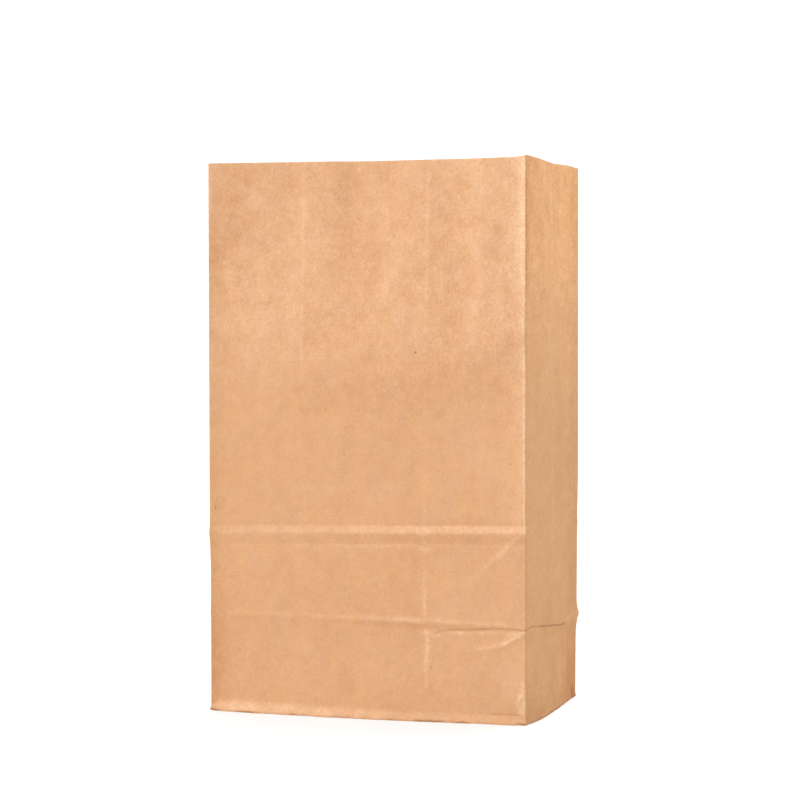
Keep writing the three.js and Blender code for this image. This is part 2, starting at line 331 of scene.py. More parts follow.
PANELS = (
    Panel(
        Side.FRONT,
        HALF_WIDTH,
        lip=((-1, 4.4), (0, 0.6), (0.33, -3), (0.44, -2.2), (0.503, 0), (0.65, 0.7), (0.863, 2), (1, 1.3)),
        lower_fold=((-1, 0.9), (0.21, 0), (0.6, -0.7), (1, -1.4)),
        lower_strength=((-1, 0.3), (-0.8, 0.45), (-0.2, 0.9), (0.15, 1.5), (0.38, 1.6), (0.5, 1), (1, 1.1)),
        upper_fold=((-1, -6.8), (0, -5), (1, -3)),
        upper_strength=((-1, 0.4), (-0.85, 0.55), (-0.4, 0.72), (0.1, 0.92), (0.6, 1.15), (1, 1.15)),
        bend=((-1, 12), (-0.37, -12), (0.63, 3), (1, 11)),
        rim=((-1, -0.2), (-0.6, -0.1), (0, -0.5), (0.44, -0.6), (0.85, -0.7), (0.96, -0.5), (1, 0.1)),
        foot=((-1, 3), (-0.92, 6.6), (-0.3, 5.8), (0.3, 5.2), (0.8, 4.4), (1, 3.6)),
        ground=((-1, 0.1), (-0.6, 0), (0.6, 0), (1, 0.2)),
        bulge=((-1, 0), (-0.6, 2.4), (0, 3.2), (0.45, 1.8), (0.8, 0.2), (1, 0)),
        flare=2,
        lean=6.5,
        lips=1.5,
        creases=(-36, 33.2, 34.8),
    ),
    Panel(
        Side.RIGHT,
        HALF_DEPTH,
        lip=((-1, 1.3), (-0.89, 2.3), (-0.37, -0.1), (-0.02, -1.9), (0.42, -3.7), (1, -2.5)),
        lower_fold=((-1, -1.4), (-0.36, -2.6), (0, -4.4), (0.42, -6.2), (1, -5)),
        lower_strength=((-1, 0.8), (-0.5, 0.4), (0.5, 0.6), (1, 1.4)),
        upper_fold=((-1, -3), (1, -5)),
        upper_strength=((-1, 0.5), (-0.5, 0.2), (0, 0.12), (1, 0.2)),
        bend=((-1, 11), (0, -4), (1, 4)),
        rim=((-1, 0.2), (-0.5, 0.2), (0.08, -0.1), (0.7, 0.4), (1, 0.3)),
        foot=((-1, 3.6), (0, 3), (1, 3)),
        ground=((-1, 0.2), (0, 0), (1, 0.3)),
        bulge=((-1, 0.5), (-0.5, 2.7), (-0.2, 2.4), (0.2, 1.5), (0.6, 0.5), (1, 0)),
        flare=0.7,
        lean=0,
        lips=0.6,
        creases=(1.5,),
    ),
    Panel(
        Side.BACK,
        HALF_WIDTH,
        lip=((-1, -2.5), (-0.33, 1), (1, 3)),
        lower_fold=((-1, -5), (-0.33, -1.5), (1, -0.5)),
        lower_strength=((-1, 1.2), (-0.4, 0.8), (0.3, 0.5), (1, 0.8)),
        upper_fold=((-1, -5), (1, -4)),
        upper_strength=((-1, 0.25), (0, 0.3), (1, 0.25)),
        bend=((-1, 4), (0.22, -9), (1, 6)),
        rim=((-1, 0.3), (0.11, -0.4), (1, 0)),
        foot=((-1, 3.2), (0, 5), (1, 3.6)),
        ground=((-1, 0.3), (0, 0), (1, 0.4)),
        bulge=((-1, 0), (-0.5, 0.9), (0, 1.3), (0.6, 0.9), (1, 0)),
        flare=1.6,
        lean=6,
        lips=1.4,
        creases=(-6, 6),
    ),
    Panel(
        Side.LEFT,
        HALF_DEPTH,
        lip=((-1, 3), (-0.46, 1.2), (0.08, -0.1), (0.53, 1.6), (1, 4.4)),
        lower_fold=((-1, -0.5), (0, -3), (1, 0.9)),
        lower_strength=((-1, 0.8), (0.2, 0.6), (1, 0.5)),
        upper_fold=((-1, -4), (1, -6.8)),
        upper_strength=((-1, 0.25), (0, 0.15), (1, 0.3)),
        bend=((-1, 6), (0.1, -5), (1, 12)),
        rim=((-1, 0), (-0.1, -0.5), (1, -0.2)),
        foot=((-1, 3.4), (0, 3.4), (1, 3)),
        ground=((-1, 0.4), (0, 0), (1, 0.1)),
        bulge=((-1, 0), (-0.4, 0.9), (0.3, 0.7), (1, 0)),
        flare=1.2,
        lean=1.5,
        lips=0.8,
        creases=(-1,),
    ),
)

# Profile of a mark that has no relief.
FLAT = ((0.0, 0.0), (1.0, 0.0))


def ridge(half: float, height: float) -> Knots:
    """Profile with two equal flanks; a negative height gives a groove."""
    return ((-half, 0.0), (0.0, height), (half, 0.0))


def shade(tone: float, reach: float, *path: Knot, fades: Knot = (8.0, 8.0)) -> Crease:
    """Band of painted light, or of painted shade where its share is below zero, without relief."""
    return Crease(path, FLAT, fades=fades, tone=tone, reach=reach)


def wear_and_highlight_line(worn: float, spread: float, *path: Knot, fades: Knot = (8.0, 8.0)) -> Crease:
    """Line of pale wear and painted highlight, without relief."""
    return Crease(path, FLAT, fades=fades, worn=worn, spread=spread)


FRONT_CREASES = (
    # The lip of paper under the lower fold, with painted shade along its crisp line, and the wrinkles that
    # start at its corner, with pale wear and painted highlights.
    Crease(
        ((36, 44.4), (39.5, 47), (45.3, 49), (58.5, 49.7), (77.7, 51), (90, 50.3)),
        ((-6, 0), (-0.25, -0.18), (0.25, 0.14), (3, 0.08), (8, 0)), 0.2, soil=0.25, fades=(6, 0),
    ),
    Crease(
        ((90.5, 49.6), (84.4, 46.4), (77.7, 42.9), (70.6, 40.9), (56, 38)),
        ((-3.2, 0), (0, 0.6), (2.4, 0)), 0.3, worn=1, spread=0.85, fades=(0, 22),
    ),
    Crease(
        ((38, 44.4), (45.3, 47), (58.5, 47.7), (77.7, 48.9), (89, 49.2)), ridge(1.6, 0.14), worn=0.3,
        fades=(1, 1),
    ),
    Crease(((50, 47.4), (57, 47.8)), ridge(1.4, 0.12), worn=0.4, fades=(2, 2)),
    Crease(((63, 47.4), (69, 48.6)), ridge(1.4, 0.12), worn=0.4, fades=(2, 2)),
    Crease(((77, 46.8), (84, 47.9), (89.8, 49.2)), ridge(1.4, 0.2), worn=0.8, fades=(6, 0)),
    wear_and_highlight_line(0.5, 0.7, (81, 44.6), (86, 47.2), (89.8, 49.2), fades=(2, 0)),
    shade(-0.05, 1.8, (-12, 51.4), (25, 51), (58, 51.8), (90, 52.2), fades=(26, 0)),
    Crease(
        ((88, 101.5), (75, 90), (63, 79.5), (52, 71.5)), ((-2.2, 0), (0, 0.42), (5, 0)), worn=0.5,
        spread=1.3, fades=(6, 24),
    ),
    shade(-0.028, 8, (31, 97), (42, 78)),
    # Edge of the folded gusset, printed through the front panel, with pale wear and painted highlights
    # along it.
    Crease(
        ((33.2, 50), (33.4, 80), (33, 114)), ((-14, 0), (-0.9, 0.09), (0.6, 0)), worn=0.12, fades=(5, 12),
    ),
    wear_and_highlight_line(0.4, 1.1, (33.7, 55), (33.2, 74), fades=(1, 9)),
    wear_and_highlight_line(0.2, 0.9, (33.6, 104), (33.2, 128), fades=(2, 12)),
    Crease(
        ((34.4, 12), (35, 22), (34.4, 32), (35.1, 40), (34.4, 48.5)), ((-14, 0), (-1, 0.3), (0.9, 0)),
        worn=0.55, spread=1.4, fades=(24, 1),
    ),
    Crease(((32.5, 47.8), (38, 46.2), (43, 46)), ridge(2, 0.26), worn=0.9, spread=1.1, fades=(1, 3)),
    Crease(((34, 43.8), (39, 41.8)), ridge(2, 0.22), worn=0.75, fades=(1, 3)),
    wear_and_highlight_line(0.6, 1.6, (33.4, 48.6), (35, 42), fades=(1, 2)),
    Crease(((17.5, 37), (14.5, 20)), ridge(3, 0.12), worn=0.16, fades=(4, 6)),
    wear_and_highlight_line(0.85, 1.5, (17, 54), (33, 53.4), fades=(1, 2)),
    Crease(((31, 92.6), (34, 91.6), (38, 92.4)), ridge(1.2, 0.15), worn=0.45, fades=(1, 2)),
    # Painted shade in lines beside the upper fold.
    shade(-0.055, 0.9, (0, 104.6), (45, 105.6), (89, 106.3), fades=(30, 0)),
    shade(-0.035, 2.4, (-20, 97.4), (89, 98.4), fades=(40, 0)),
    # Pale wear and painted highlight along the lit flank of the lower fold.
    wear_and_highlight_line(0.22, 1.1, (-82, 54.6), (-30, 54.2), (19, 53.9), (60, 53.4), (89, 52.2)),
    wear_and_highlight_line(0.18, 1.4, (6, 54.1), (60, 53.5), (89, 52.4), fades=(12, 1)),
    # Ledge under the upper fold.
    Crease(
        ((-50, 91), (-5, 92.2), (28, 93.4)), ((-6, 0), (0, 0.1), (2, 0)), worn=0.22, spread=1.5,
        fades=(25, 8),
    ),
    # Crumpled foot of the near corner: pale wear and painted highlights on its ridges, painted shade in its
    # grooves, and a band of painted light beside it.
    Crease(
        ((88.6, 30), (88.4, 21), (88.8, 17), (86.8, 13.5), (85.9, 10.5), (87.2, 7.5), (86, 5.5)),
        ridge(1.4, 0.35), 0.3, worn=1.3, spread=0.8, fades=(17, 1),
    ),
    Crease(((85.4, 15), (86, 11), (85.4, 6.5)), ridge(1.6, -0.3), 0.3, soil=0.35, fades=(3, 1)),
    Crease(((88.2, 13), (88, 11)), FLAT, soil=0.5, fades=(0.5, 0.5)),
    wear_and_highlight_line(1.1, 1.6, (87.2, 17), (88.4, 14.5), (87.2, 12), fades=(1, 1)),
    Crease(((88.4, 17), (85.6, 13), (83.4, 10)), ridge(1.8, 0.35), 0.3, worn=0.8, fades=(1, 4)),
    Crease(
        ((88.2, 14), (89.2, 11), (88.4, 8.5), (89, 5)), ridge(1, 0.25), 0.3, worn=1.4, spread=0.7,
        fades=(2, 1),
    ),
    Crease(((66, 5.2), (80, 5.7), (88, 5.4)), ridge(1, -0.15), 0.3, soil=0.5, fades=(9, 1)),
    shade(0.045, 8, (76, 12), (85, 22), (85, 44)),
    Crease(((74, 26), (81, 22), (87, 23)), ridge(2.4, 0.2), worn=0.3, fades=(5, 2)),
    # Soft dents above the foot, and narrow bands of painted shade.
    Crease(((-13, 17), (-2, 17)), ridge(9, -0.45), 5, fades=(5, 5)),
    Crease(((22, 17), (33, 17)), ridge(8, -0.45), 5, fades=(5, 5)),
    Crease(((58, 17), (76, 17)), ridge(8, -0.5), 5, fades=(8, 8)),
    shade(-0.055, 5, (-7, 27), (-9, 8)),
    shade(-0.045, 5, (38, 22), (36, 8)),
    shade(-0.045, 5, (80, 15), (77, 6)),
    # Folds of the upper front: the flank that faces the light is lighter.
    Crease(((-76, 306), (-80, 262), (-91, 220)), ridge(8, -0.3), 4, tone=-0.045, reach=10, fades=(0, 22)),
    shade(-0.035, 9, (-56, 305), (-74, 268), (-90, 240), fades=(0, 10)),
    shade(0.03, 4, (-49, 304), (-67, 268), fades=(2, 12)),
    Crease(((-66, 284), (-62, 256)), ridge(5, 0.2), 2, tone=0.035, reach=5),
    Crease(
        ((-37, 290), (-38, 245), (-45, 206)), ((-6, 0), (0, 0.2), (8, 0)), 2, tone=0.035, reach=8,
        fades=(14, 14),
    ),
    Crease(((-82, 209), (-34, 206)), ridge(14, 0.25), 6, tone=0.035, reach=13, fades=(14, 18)),
    Crease(((-12, 306), (-9.5, 255), (-14, 222)), ridge(9, -0.3), 4, tone=-0.065, reach=8, fades=(0, 16)),
    shade(-0.045, 7, (-3, 230), (-9, 202)),
    shade(-0.05, 7, (2, 262), (-1, 232), fades=(10, 10)),
    shade(0.03, 11, (-72, 256), (-60, 222)),
    Crease(((26, 266), (16, 242), (3, 220)), ridge(5, 0.35), 2, tone=0.07, reach=5.5, fades=(8, 12)),
    shade(0.045, 5, (27, 250), (30, 204)),
    Crease(
        ((41, 279), (46, 250), (53, 225), (56, 205)), ridge(8, -0.35), 3, tone=-0.065, reach=7,
        fades=(14, 10),
    ),
    Crease(
        ((60, 305), (63, 262), (64, 206)), ((-5, 0), (0, 0.3), (6, 0)), 2, tone=0.025, reach=4.5,
        fades=(0, 12),
    ),
    shade(0.085, 4, (60, 230), (59, 200), fades=(8, 1)),
    shade(-0.06, 5, (91, 206), (74, 199), fades=(1, 8)),
    shade(-0.025, 6, (75, 270), (73, 225)),
    shade(-0.045, 9, (-46, 303), (-44, 276), fades=(0, 8)),
    shade(-0.03, 11, (9, 188), (12, 125)),
    shade(0.04, 11, (68, 160), (71, 126)),
    shade(-0.035, 9, (28, 214), (50, 212), fades=(4, 4)),
    shade(0.035, 11, (40, 92), (52, 62)),
    shade(-0.02, 13, (-66, 78), (-38, 78)),
    shade(-0.04, 11, (-37, 188), (-15, 160)),
    Crease(((-36, 172), (-36, 298)), ridge(2, 0.1), worn=0.2, fades=(24, 8)),
    Crease(((34.6, 190), (35, 304)), ridge(2, 0.1), worn=0.16),
    wear_and_highlight_line(0.2, 0.9, (35, 262), (35, 296)),
    Crease(((92, 207), (70, 197), (46, 188)), ((-11, 0), (0, 0.7), (14, 0)), 2, tone=-0.045, fades=(0, 16)),
    shade(-0.06, 9, (88, 236), (84, 212), fades=(10, 2)),
    Crease(((-40, 177), (40, 177), (92, 184)), ridge(12, -0.3), 6, tone=-0.035, reach=12, fades=(30, 4)),
)

RIGHT_CREASES = (
    # Lower fold of the right gusset panel: painted shade along its crisp line, painted light beside the
    # tent ridge, and painted shade along the foot.
    Crease(
        ((-52.5, 50.3), (-46.8, 51.3), (-19.3, 48.9), (-1, 47.1), (22.1, 45.3), (27, 45.3)),
        ((-6, 0), (-0.25, -0.1), (0.3, 0.3), (10, 0)), 0.25, soil=1.1, fades=(0, 4),
    ),
    Crease(((18, 45.6), (24, 45.5), (26, 46.6)), FLAT, soil=1, fades=(1, 1)),
    Crease(((24, 46.2), (30, 47.6), (38, 49)), ridge(2, 0.35), worn=0.8, fades=(2, 5)),
    Crease(((29, 0), (29.5, 24), (30, 46)), ((-23, 0), (0, 0.9), (50, 0)), 1.5, soil=0.12, fades=(3, 8)),
    shade(0.06, 3, (25, 44), (24, 12), fades=(4, 8)),
    Crease(((-50, 0.9), (0, 0.9), (50, 0.9)), FLAT, 0.2, soil=0.5, fades=(4, 1)),
    shade(-0.07, 9, (-52, 1), (-15, 3), (20, 1), (50, 1), fades=(0, 0)),
    Crease(((-51, 2), (-2, 45)), ridge(3, 0.22), worn=0.12),
    Crease(((51, 2), (2, 43)), ridge(3, 0.22), worn=0.12),
    Crease(
        ((1.2, 48), (1.6, 180), (4.5, 302)),
        ((-48, 0), (-36, 1.2), (-22, 1.2), (-8, 0), (0, -1.6), (9, 0.2), (34, 0.2)), 6, worn=0.15,
        fades=(240, 0),
    ),
)

BACK_CREASES = (
    # Glued lap down the back panel, with a painted shadow line along its edge, and wrinkles of the back.
    Crease(
        ((6, -2), (6.2, 150), (5.8, 303)), ((-0.18, 0), (0.18, 0.2), (9, 0.2), (40, 0)), 0.12, worn=0.15,
        soil=0.3, fades=(0, 0),
    ),
    Crease(((-89, 46), (-78, 38), (-62, 33)), ridge(3, 0.4), worn=0.4, fades=(1, 14)),
    Crease(((-89, 98), (-70, 84), (-55, 66)), ((-4, 0), (0, 0.25), (3, 0)), worn=0.12, fades=(10, 14)),
    Crease(((-34.5, 14), (-34.8, 60), (-34, 112)), ((-1, 0), (1, 0.3), (16, 0)), worn=0.4, fades=(14, 12)),
    Crease(
        ((34.8, 20), (34.5, 70), (34.2, 108)), ((-15, 0), (-1, 0.22), (0.8, 0)), worn=0.25, fades=(16, 16),
    ),
)

LEFT_CREASES = (
    # Lower fold of the left gusset panel, with painted shade along its crisp line.
    Crease(
        ((-52.5, 52), (-24, 50.2), (4, 48.9), (28, 50.6), (52.5, 53.4)),
        ((-6, 0), (-0.25, -0.1), (0.3, 0.35), (10, 0)), 0.25, soil=0.5, fades=(0, 0),
    ),
    Crease(((-51, 2), (-3, 46)), ridge(3, 0.25), worn=0.15),
    Crease(((51, 2), (1, 46)), ridge(3, 0.25), worn=0.15),
    Crease(((-0.6, 48), (-1, 180), (-1.4, 302)), ridge(34, -1.4), 0.8, worn=0.15, fades=(230, 0)),
)

CREASES = {
    Side.FRONT: FRONT_CREASES,
    Side.RIGHT: RIGHT_CREASES,
    Side.BACK: BACK_CREASES,
    Side.LEFT: LEFT_CREASES,
}


# ---- the paper sheet
# What a point of the sheet carries for its finish, from 0 to 1 but for the fourth, which is a share. In
# order: pale wear with painted highlights, painted shade, a painted glow of light through the paper,
# painted light and shade, the gusset panels with their painted colour of light, and the inner face.
MARKS = ("worn", "soil", "glow", "tone", "gusset", "inner")


@dataclass(frozen=True)
class Skin:
    """One face of the wall: points, and marks by name, as (column, row)."""

    points: Array
    marks: dict[str, Array]


@dataclass
class PaperSheet:
    """The folded sheet: four panels, the rounded edge of the base, and the glued base.

    Attributes:
        paper: Thickness of one layer.
        floor: Height of the upper face of the glued base.
        corner_round: Outer radius of the corner folds.
        foot_round: Radius of the edge of the base.
        flap_overlap: How far each flap of the base reaches past the middle.
    """

    paper: float = 0.2
    floor: float = 0.8
    corner_round: float = 0.8
    foot_round: float = 0.5
    flap_overlap: float = 9.5
    row_step: float = 2.5
    column_steps: tuple[float, ...] = (2.8, 2.6, 3.8, 3.8)
    swell: Undulation = Undulation(7, 570.0, 40, 16.0, 130.0, 0.75, 1.3)
    cockle: Undulation = Undulation(23, 570.0, 60, 5.0, 16.0, 0.05, 1.8)

    # Columns: closer together from here on the front panel, where its corner is wrinkled.
    FINE_FROM = 36.0
    # Columns beside the corner folds, on the wrinkled corner alone, and beside long creases.
    CORNER_STATIONS = (0.0, 0.5, 0.9, 1.6, 2.6, 4.0, 5.8, 8.2, 11.4)
    CRUMPLE_STATIONS = (0.25, 1.25, 2.1, 3.1, 3.5, 4.5, 5.1)
    CREASE_STATIONS = (-1.4, -0.7, -0.2, 0.2, 0.7, 1.4)
    # Rows above and below the levels.
    BY_LIP = (0.2, 0.45, 0.8, 1.2, 1.7, 2.3, 3.0, 3.8, 4.6, 5.4, 6.2, 7.0, 8.0, 9.0, 10.2)
    ROWS = {
        Level.GROUND: (
            0.5, 0.9, 1.4, 2.1, 3, 3.8, 4.6, 5.4, 6.2, 7.2, 8.2, 9.2, 10.4, 11.6, 12.8, 14, 15.4, 16.8,
        ),
        Level.LIP: (*(-a for a in reversed((*BY_LIP, 11.4, 12.6))), 0.0, *BY_LIP),
        Level.UPPER_FOLD: (
            -9, -8.2, -7.6, -7.2, -6.8, -6.4, -6, -5.6, -4.8, -3.6, -2.4, -1.2, -0.6,
            -0.3, 0, 0.3, 0.6, 1.2, 2.2, 3.2, 3.5, 3.8, 4.1, 4.5, 5.2, 6.4,
        ),
        Level.BEND: (-36, 0, 16),
        Level.RIM: (-12, -3, -1.2, -0.4, 0),
    }
    # Loops of the base, and the row of the inner wall that meets its floor.
    INSETS = (0.6, 1.4, 2.6, 4.2, 6.5, 9.5, 13.0, 17.5, 23.0, 29.0, 35.0, 41.0, 46.5, 51.5)
    INNER_START = 4

    # ---- mesh density
    def stations(self, panel: Panel) -> Array:
        """Columns of a panel, from its first corner fold up to, and without, its last.

        Args:
            panel: The panel.

        Returns:
            Their distances from the panel's middle.
        """
        half, step = panel.half, self.column_steps[panel.side.value]
        marks = [c + d for c in panel.creases for d in self.CREASE_STATIONS]
        crumple = self.CRUMPLE_STATIONS if panel.side is Side.FRONT else ()
        last = [half - d for d in self.CORNER_STATIONS + crumple]
        fixed = sorted([d - half for d in self.CORNER_STATIONS] + marks + last)
        fixed = [a for a, b in zip(fixed, fixed[1:]) if b - a > 0.15] + [fixed[-1]]
        filled = self._filled(fixed, step)
        if panel.side is Side.FRONT:
            fine = self._filled([x for x in filled if x >= self.FINE_FROM], step / 2)
            filled = [x for x in filled if x < self.FINE_FROM] + fine
        return np.array(filled[:-1])

    @staticmethod
    def _filled(values: Sequence[float], largest: float) -> list[float]:
        """The values with even steps added wherever a gap is larger than the largest.

        Args:
            values: Places, in rising order.
            largest: The largest gap that stays.

        Returns:
            The places, old and new.
        """
        found = [float(values[0])]
        for low, high in zip(values, values[1:]):
            count = max(1, math.ceil((high - low) / largest))
            found += [low + (high - low) * (k + 1) / count for k in range(count)]
        return found

    def heights(self, panel: Panel, x: Array) -> Array:
        """Heights of all rows at each column of a panel, as (column, row).

        Args:
            panel: The panel.
            x: Distances from the panel's middle.

        Returns:
            The heights.
        """
        rows = [(level, above) for level, values in self.ROWS.items() for above in values]
        fixed = np.stack([panel.height(level, x) + above for level, above in rows], 1)
        nominal = [level.value + above for level, above in rows]
        places = []
        for i, (low, high) in enumerate(zip(nominal, nominal[1:])):
            places += list(np.linspace(i, i + 1, 1 + math.ceil((high - low) / self.row_step))[:-1])
        places = np.array(places + [len(rows) - 1])
        below = np.minimum(np.floor(places).astype(int), len(rows) - 2)
        share = places - below
        return fixed[:, below] * (1 - share) + fixed[:, below + 1] * share

    # ---- relief of the wall
    def relief(self, panel: Panel, x: Array, z: Array) -> tuple[Array, dict[str, Array]]:
        """How far the outer face stands out from the line between its corner folds.

        Args:
            panel: The panel.
            x: Distances from its middle.
            z: Heights.

        Returns:
            The relief, and the marks by name.
        """
        from_fold, place = panel.half - np.abs(x), x / panel.half
        around = x + (2 * panel.side.value + 1) * (HALF_WIDTH + HALF_DEPTH) / 2
        free = 1 - np.exp(-from_fold / 7.0)
        loose = 0.45 + 0.55 * ease(z, 20, 260)
        soft = self._lips(panel, x, z) + self._lean(panel, x, z) + self._flutes(panel, x, z)
        soft = soft + free * loose * self.swell.relief(around, z)
        soft = soft + free * self.cockle.relief(around, z) * (0.5 + loose)
        # Pale wear with painted highlights, and the painted light and shade of the panel.
        worn, painted_light_marks = self._edge_wear_and_highlight(panel, x, z), self._painted_light_and_shade(panel, x, z)
        # Painted shadow along the foot, with gaps in it.
        gaps = 0.2 + 0.8 * np.clip(2 * ragged(x, 90 + panel.side.value, 8.0), 0, 1)
        soil = gaps * (1 - ease(z - panel.height(Level.GROUND, x), 0.6, 1.6))
        unevenness = ragged(z + 0.7 * x, 5, 2.3)
        for crease in CREASES[panel.side] + self.handling_marks(panel):
            distance, strength = crease.measure(x, z)
            soft = soft + strength * folded(crease.profile, distance, crease.rounding)
            # Each crease adds pale wear with painted highlight, painted shade along its line, and painted
            # light and shade over its flanks.
            broken = strength * (0.85 + 0.5 * unevenness)
            worn = worn + crease.worn * broken * hump(distance, crease.spread)
            soil = soil + crease.soil * broken * hump(distance, 0.45)
            painted_light_marks["tone"] += crease.tone * strength * hump(distance, crease.reach)
        total = soft * np.minimum(1, from_fold / 1.2)
        for level in (Level.UPPER_FOLD, Level.LOWER_FOLD):
            total = total + self._fold_mark(panel, level, place, z)
        total = total + self._foot(panel, place, z) + self._rounded_corner(from_fold)
        return total, {"worn": np.clip(worn, 0, 1), "soil": np.clip(soil, 0, 1)} | painted_light_marks

    @staticmethod
    def _painted_light_and_shade(panel: Panel, x: Array, z: Array) -> dict[str, Array]:
        """Painted light and shade of a panel: lighter and darker stretches, and a painted glow where light
        shines through its paper.

        Args:
            panel: The panel.
            x: Distances from the panel's middle.
            z: Heights.

        Returns:
            The marks glow, tone and gusset.
        """
        first, last = panel.half + x, panel.half - x
        strip = 1.0 - 0.9 * ease(z, 258, 280)
        # Painted shade along the first corner fold of every panel, fainter at the rim.
        tone = -0.05 * hump(first, 7.0) * strip
        # Painted light and shade of the wide panels: darker by the first fold, lighter by the last fold
        # above the upper fold.
        if panel.half == HALF_WIDTH:
            tone = (
                tone
                - 0.13 * hump(first, 8.0) * (1 - ease(z, 25, 75))
                - 0.03 * hump(first, 6.0) * (1 - ease(z, 100, 160))
                + 0.03 * hump(last, 14.0) * ease(z, 100, 112)
                - 0.07 * hump(first, 1.8) * strip
                - 0.02 * ease(z, 168, 215)
                - 0.016 * (1 - ease(z, 60, 110)) * (1 - 1.5 * ease(x, 18, 50))
            )
            return {"glow": 0 * z, "tone": tone, "gusset": 0 * z}
        # Painted shade, darker towards the foot of the gusset panels.
        tone = tone - 0.06 * (1 - ease(z, 0, 110))
        # Painted light and shade of the right gusset panel, mostly darker towards its rear and its foot.
        if panel.side is Side.RIGHT:
            foot = (1.15 - 0.45 * ease(z, 15, 38)) * (1 - ease(z, 40, 48))
            tone = (
                tone
                - (0.1 * ease(x, 12, 22) + 0.11 * ease(x, 26, 31)) * foot
                - 0.09 * ease(x, 26, 42) * ease(z, 46, 60)
                - 0.04 * ease(x, 30, 40) * ease(z, 160, 240)
                - 0.03 * ease(x, -20, 25) * hump(z - 68, 22)
                - 0.035 * ease(x, -15, 35) * hump(z - 122, 34)
                + 0.06 * hump(first, 10.0) * hump(z - 30, 14)
            )
        # Painted light on a sunlit stretch of each gusset panel, and painted shade near the rim.
        sunlit = ease(x, -4, 12) * (1 - 0.8 * ease(x, 14, 28))
        tone = (
            tone
            - 0.16 * hump(first, 6.5) * ease(z, 215, 250)
            - 0.045 * hump(x + 26, 20.0) * ease(z, 240, 275)
            + 0.085 * sunlit * ease(z, 150, 235)
        )
        # Painted glow of light shining through the paper, stronger towards the rim and the rear.
        glow = flowing(((0, 0), (150, 0.02), (205, 0.35), (255, 0.85), (300, 1)), z)
        return {"glow": glow * (0.86 + 0.22 * ease(x, -10, 30)), "tone": tone, "gusset": 1 + 0 * z}

    def _lips(self, panel: Panel, x: Array, z: Array) -> Array:
        """The pressed corner folds stand out as narrow facets beside each panel.

        Args:
            panel: The panel.
            x: Distances from the panel's middle.
            z: Heights.

        Returns:
            The relief, below zero inside the folds.
        """
        facet = ((0, 0), (7.5, 0.62), (32, 1))
        first = last = ((0, 1.0), (300, 1.0))
        if panel.side is Side.FRONT:
            first = ((0, 1.7), (60, 1.5), (120, 1.0), (250, 1.0), (285, 2.6), (300, 3.4))
            last = ((0, 2.0), (48, 2.2), (56, 3.2), (98, 3.2), (108, 1.0), (300, 1.0))
        near = folded(facet, (panel.half + x) / flowing(first, z), 1.6)
        far = folded(facet, (panel.half - x) * 1.25 / flowing(last, z), 1.6)
        at_fold = folded(facet, np.zeros(1), 1.6)
        return -panel.lips * ease(z, 2, 30) * (near - at_fold) * (far - at_fold)

    def _lean(self, panel: Panel, x: Array, z: Array) -> Array:
        """The panel swells at the soft bend and leans in from there to the rim.

        Args:
            panel: The panel.
            x: Distances from the panel's middle.
            z: Heights.

        Returns:
            The relief.
        """
        middle = 1 - np.abs(x / panel.half) ** 2.4
        top = Level.RIM.value - Level.BEND.value
        knots = ((-48, 0), (-4, 1.0), (20, 0.2), (top, -panel.lean))
        return middle * folded(knots, z - panel.height(Level.BEND, x), 12.0)

    def _flutes(self, panel: Panel, x: Array, z: Array) -> Array:
        """Wide soft flutes that run down from the rim of the wide panels.

        Args:
            panel: The panel.
            x: Distances from the panel's middle.
            z: Heights.

        Returns:
            The relief.
        """
        if panel.half < HALF_WIDTH:
            return np.zeros(z.shape)
        waves = ((-90, 0), (-70, -0.4), (-46, -0.5), (-30, 0.5), (-22, 0.7), (-6, -0.8),
                 (10, -0.6), (26, 0.5), (34, 0.6), (50, -0.7), (54, -0.7), (66, 0.5), (90, 0))
        return flowing(waves, x if panel.side is Side.FRONT else -x) * ease(z, 196, 280)

    def _fold_mark(self, panel: Panel, level: Level, place: Array, z: Array) -> Array:
        """Mark of a fold that the base was pressed flat against: a low ridge.

        Args:
            panel: The panel.
            level: The level of the fold.
            place: Places along the panel, from -1 to 1.
            z: Heights.

        Returns:
            The relief.
        """
        above = z - panel.height(level, place * panel.half)
        if level is Level.UPPER_FOLD:
            knots = ((-10, 0), (-6.6, -0.12), (-3.4, 0.42), (-1.2, 0.85), (-0.1, 0.92), (3.7, 0))
            return flowing(panel.upper_strength, place) * folded(knots, above, 0.3)
        knots = ((-2.6, 0), (0, 0.36), (3.4, 0))
        return flowing(panel.lower_strength, place) * folded(knots, above, 0.3)

    def _foot(self, panel: Panel, place: Array, z: Array) -> Array:
        """The lowest stretch flares out, bent by the fold of the base.

        Args:
            panel: The panel.
            place: Places along the panel, from -1 to 1.
            z: Heights.

        Returns:
            The relief.
        """
        above = z - panel.height(Level.GROUND, place * panel.half)
        share = above / flowing(panel.foot, place)
        corner = np.minimum(1, 0.5 + panel.half * (1 - np.abs(place)) / 12)
        bulge = flowing(panel.bulge, place) * (1 - ease(z, 0, 48))
        return bulge + corner * panel.flare * folded(((0, 1), (1, 0)), share, 0.12)

    def _rounded_corner(self, from_fold: Array) -> Array:
        """Rounding of the outer face over the corner folds.

        Args:
            from_fold: Distances from the nearer corner fold.

        Returns:
            The relief, below zero over a fold.
        """
        radius = self.corner_round
        within = radius - np.maximum(from_fold, radius * (1 - math.sqrt(0.5)))
        return np.sqrt(radius**2 - np.clip(within, 0, radius) ** 2) - radius

    def _edge_wear_and_highlight(self, panel: Panel, x: Array, z: Array) -> Array:
        """Pale wear and painted highlights of the corner folds, the foot and the upper fold mark, and
        painted light on the upper part of the wide panels.

        Args:
            panel: The panel.
            x: Distances from the panel's middle.
            z: Heights.

        Returns:
            The pale wear and painted highlight, from 0 to 1 and more.
        """
        place, to_last = x / panel.half, panel.half - x
        wide = panel.half == HALF_WIDTH
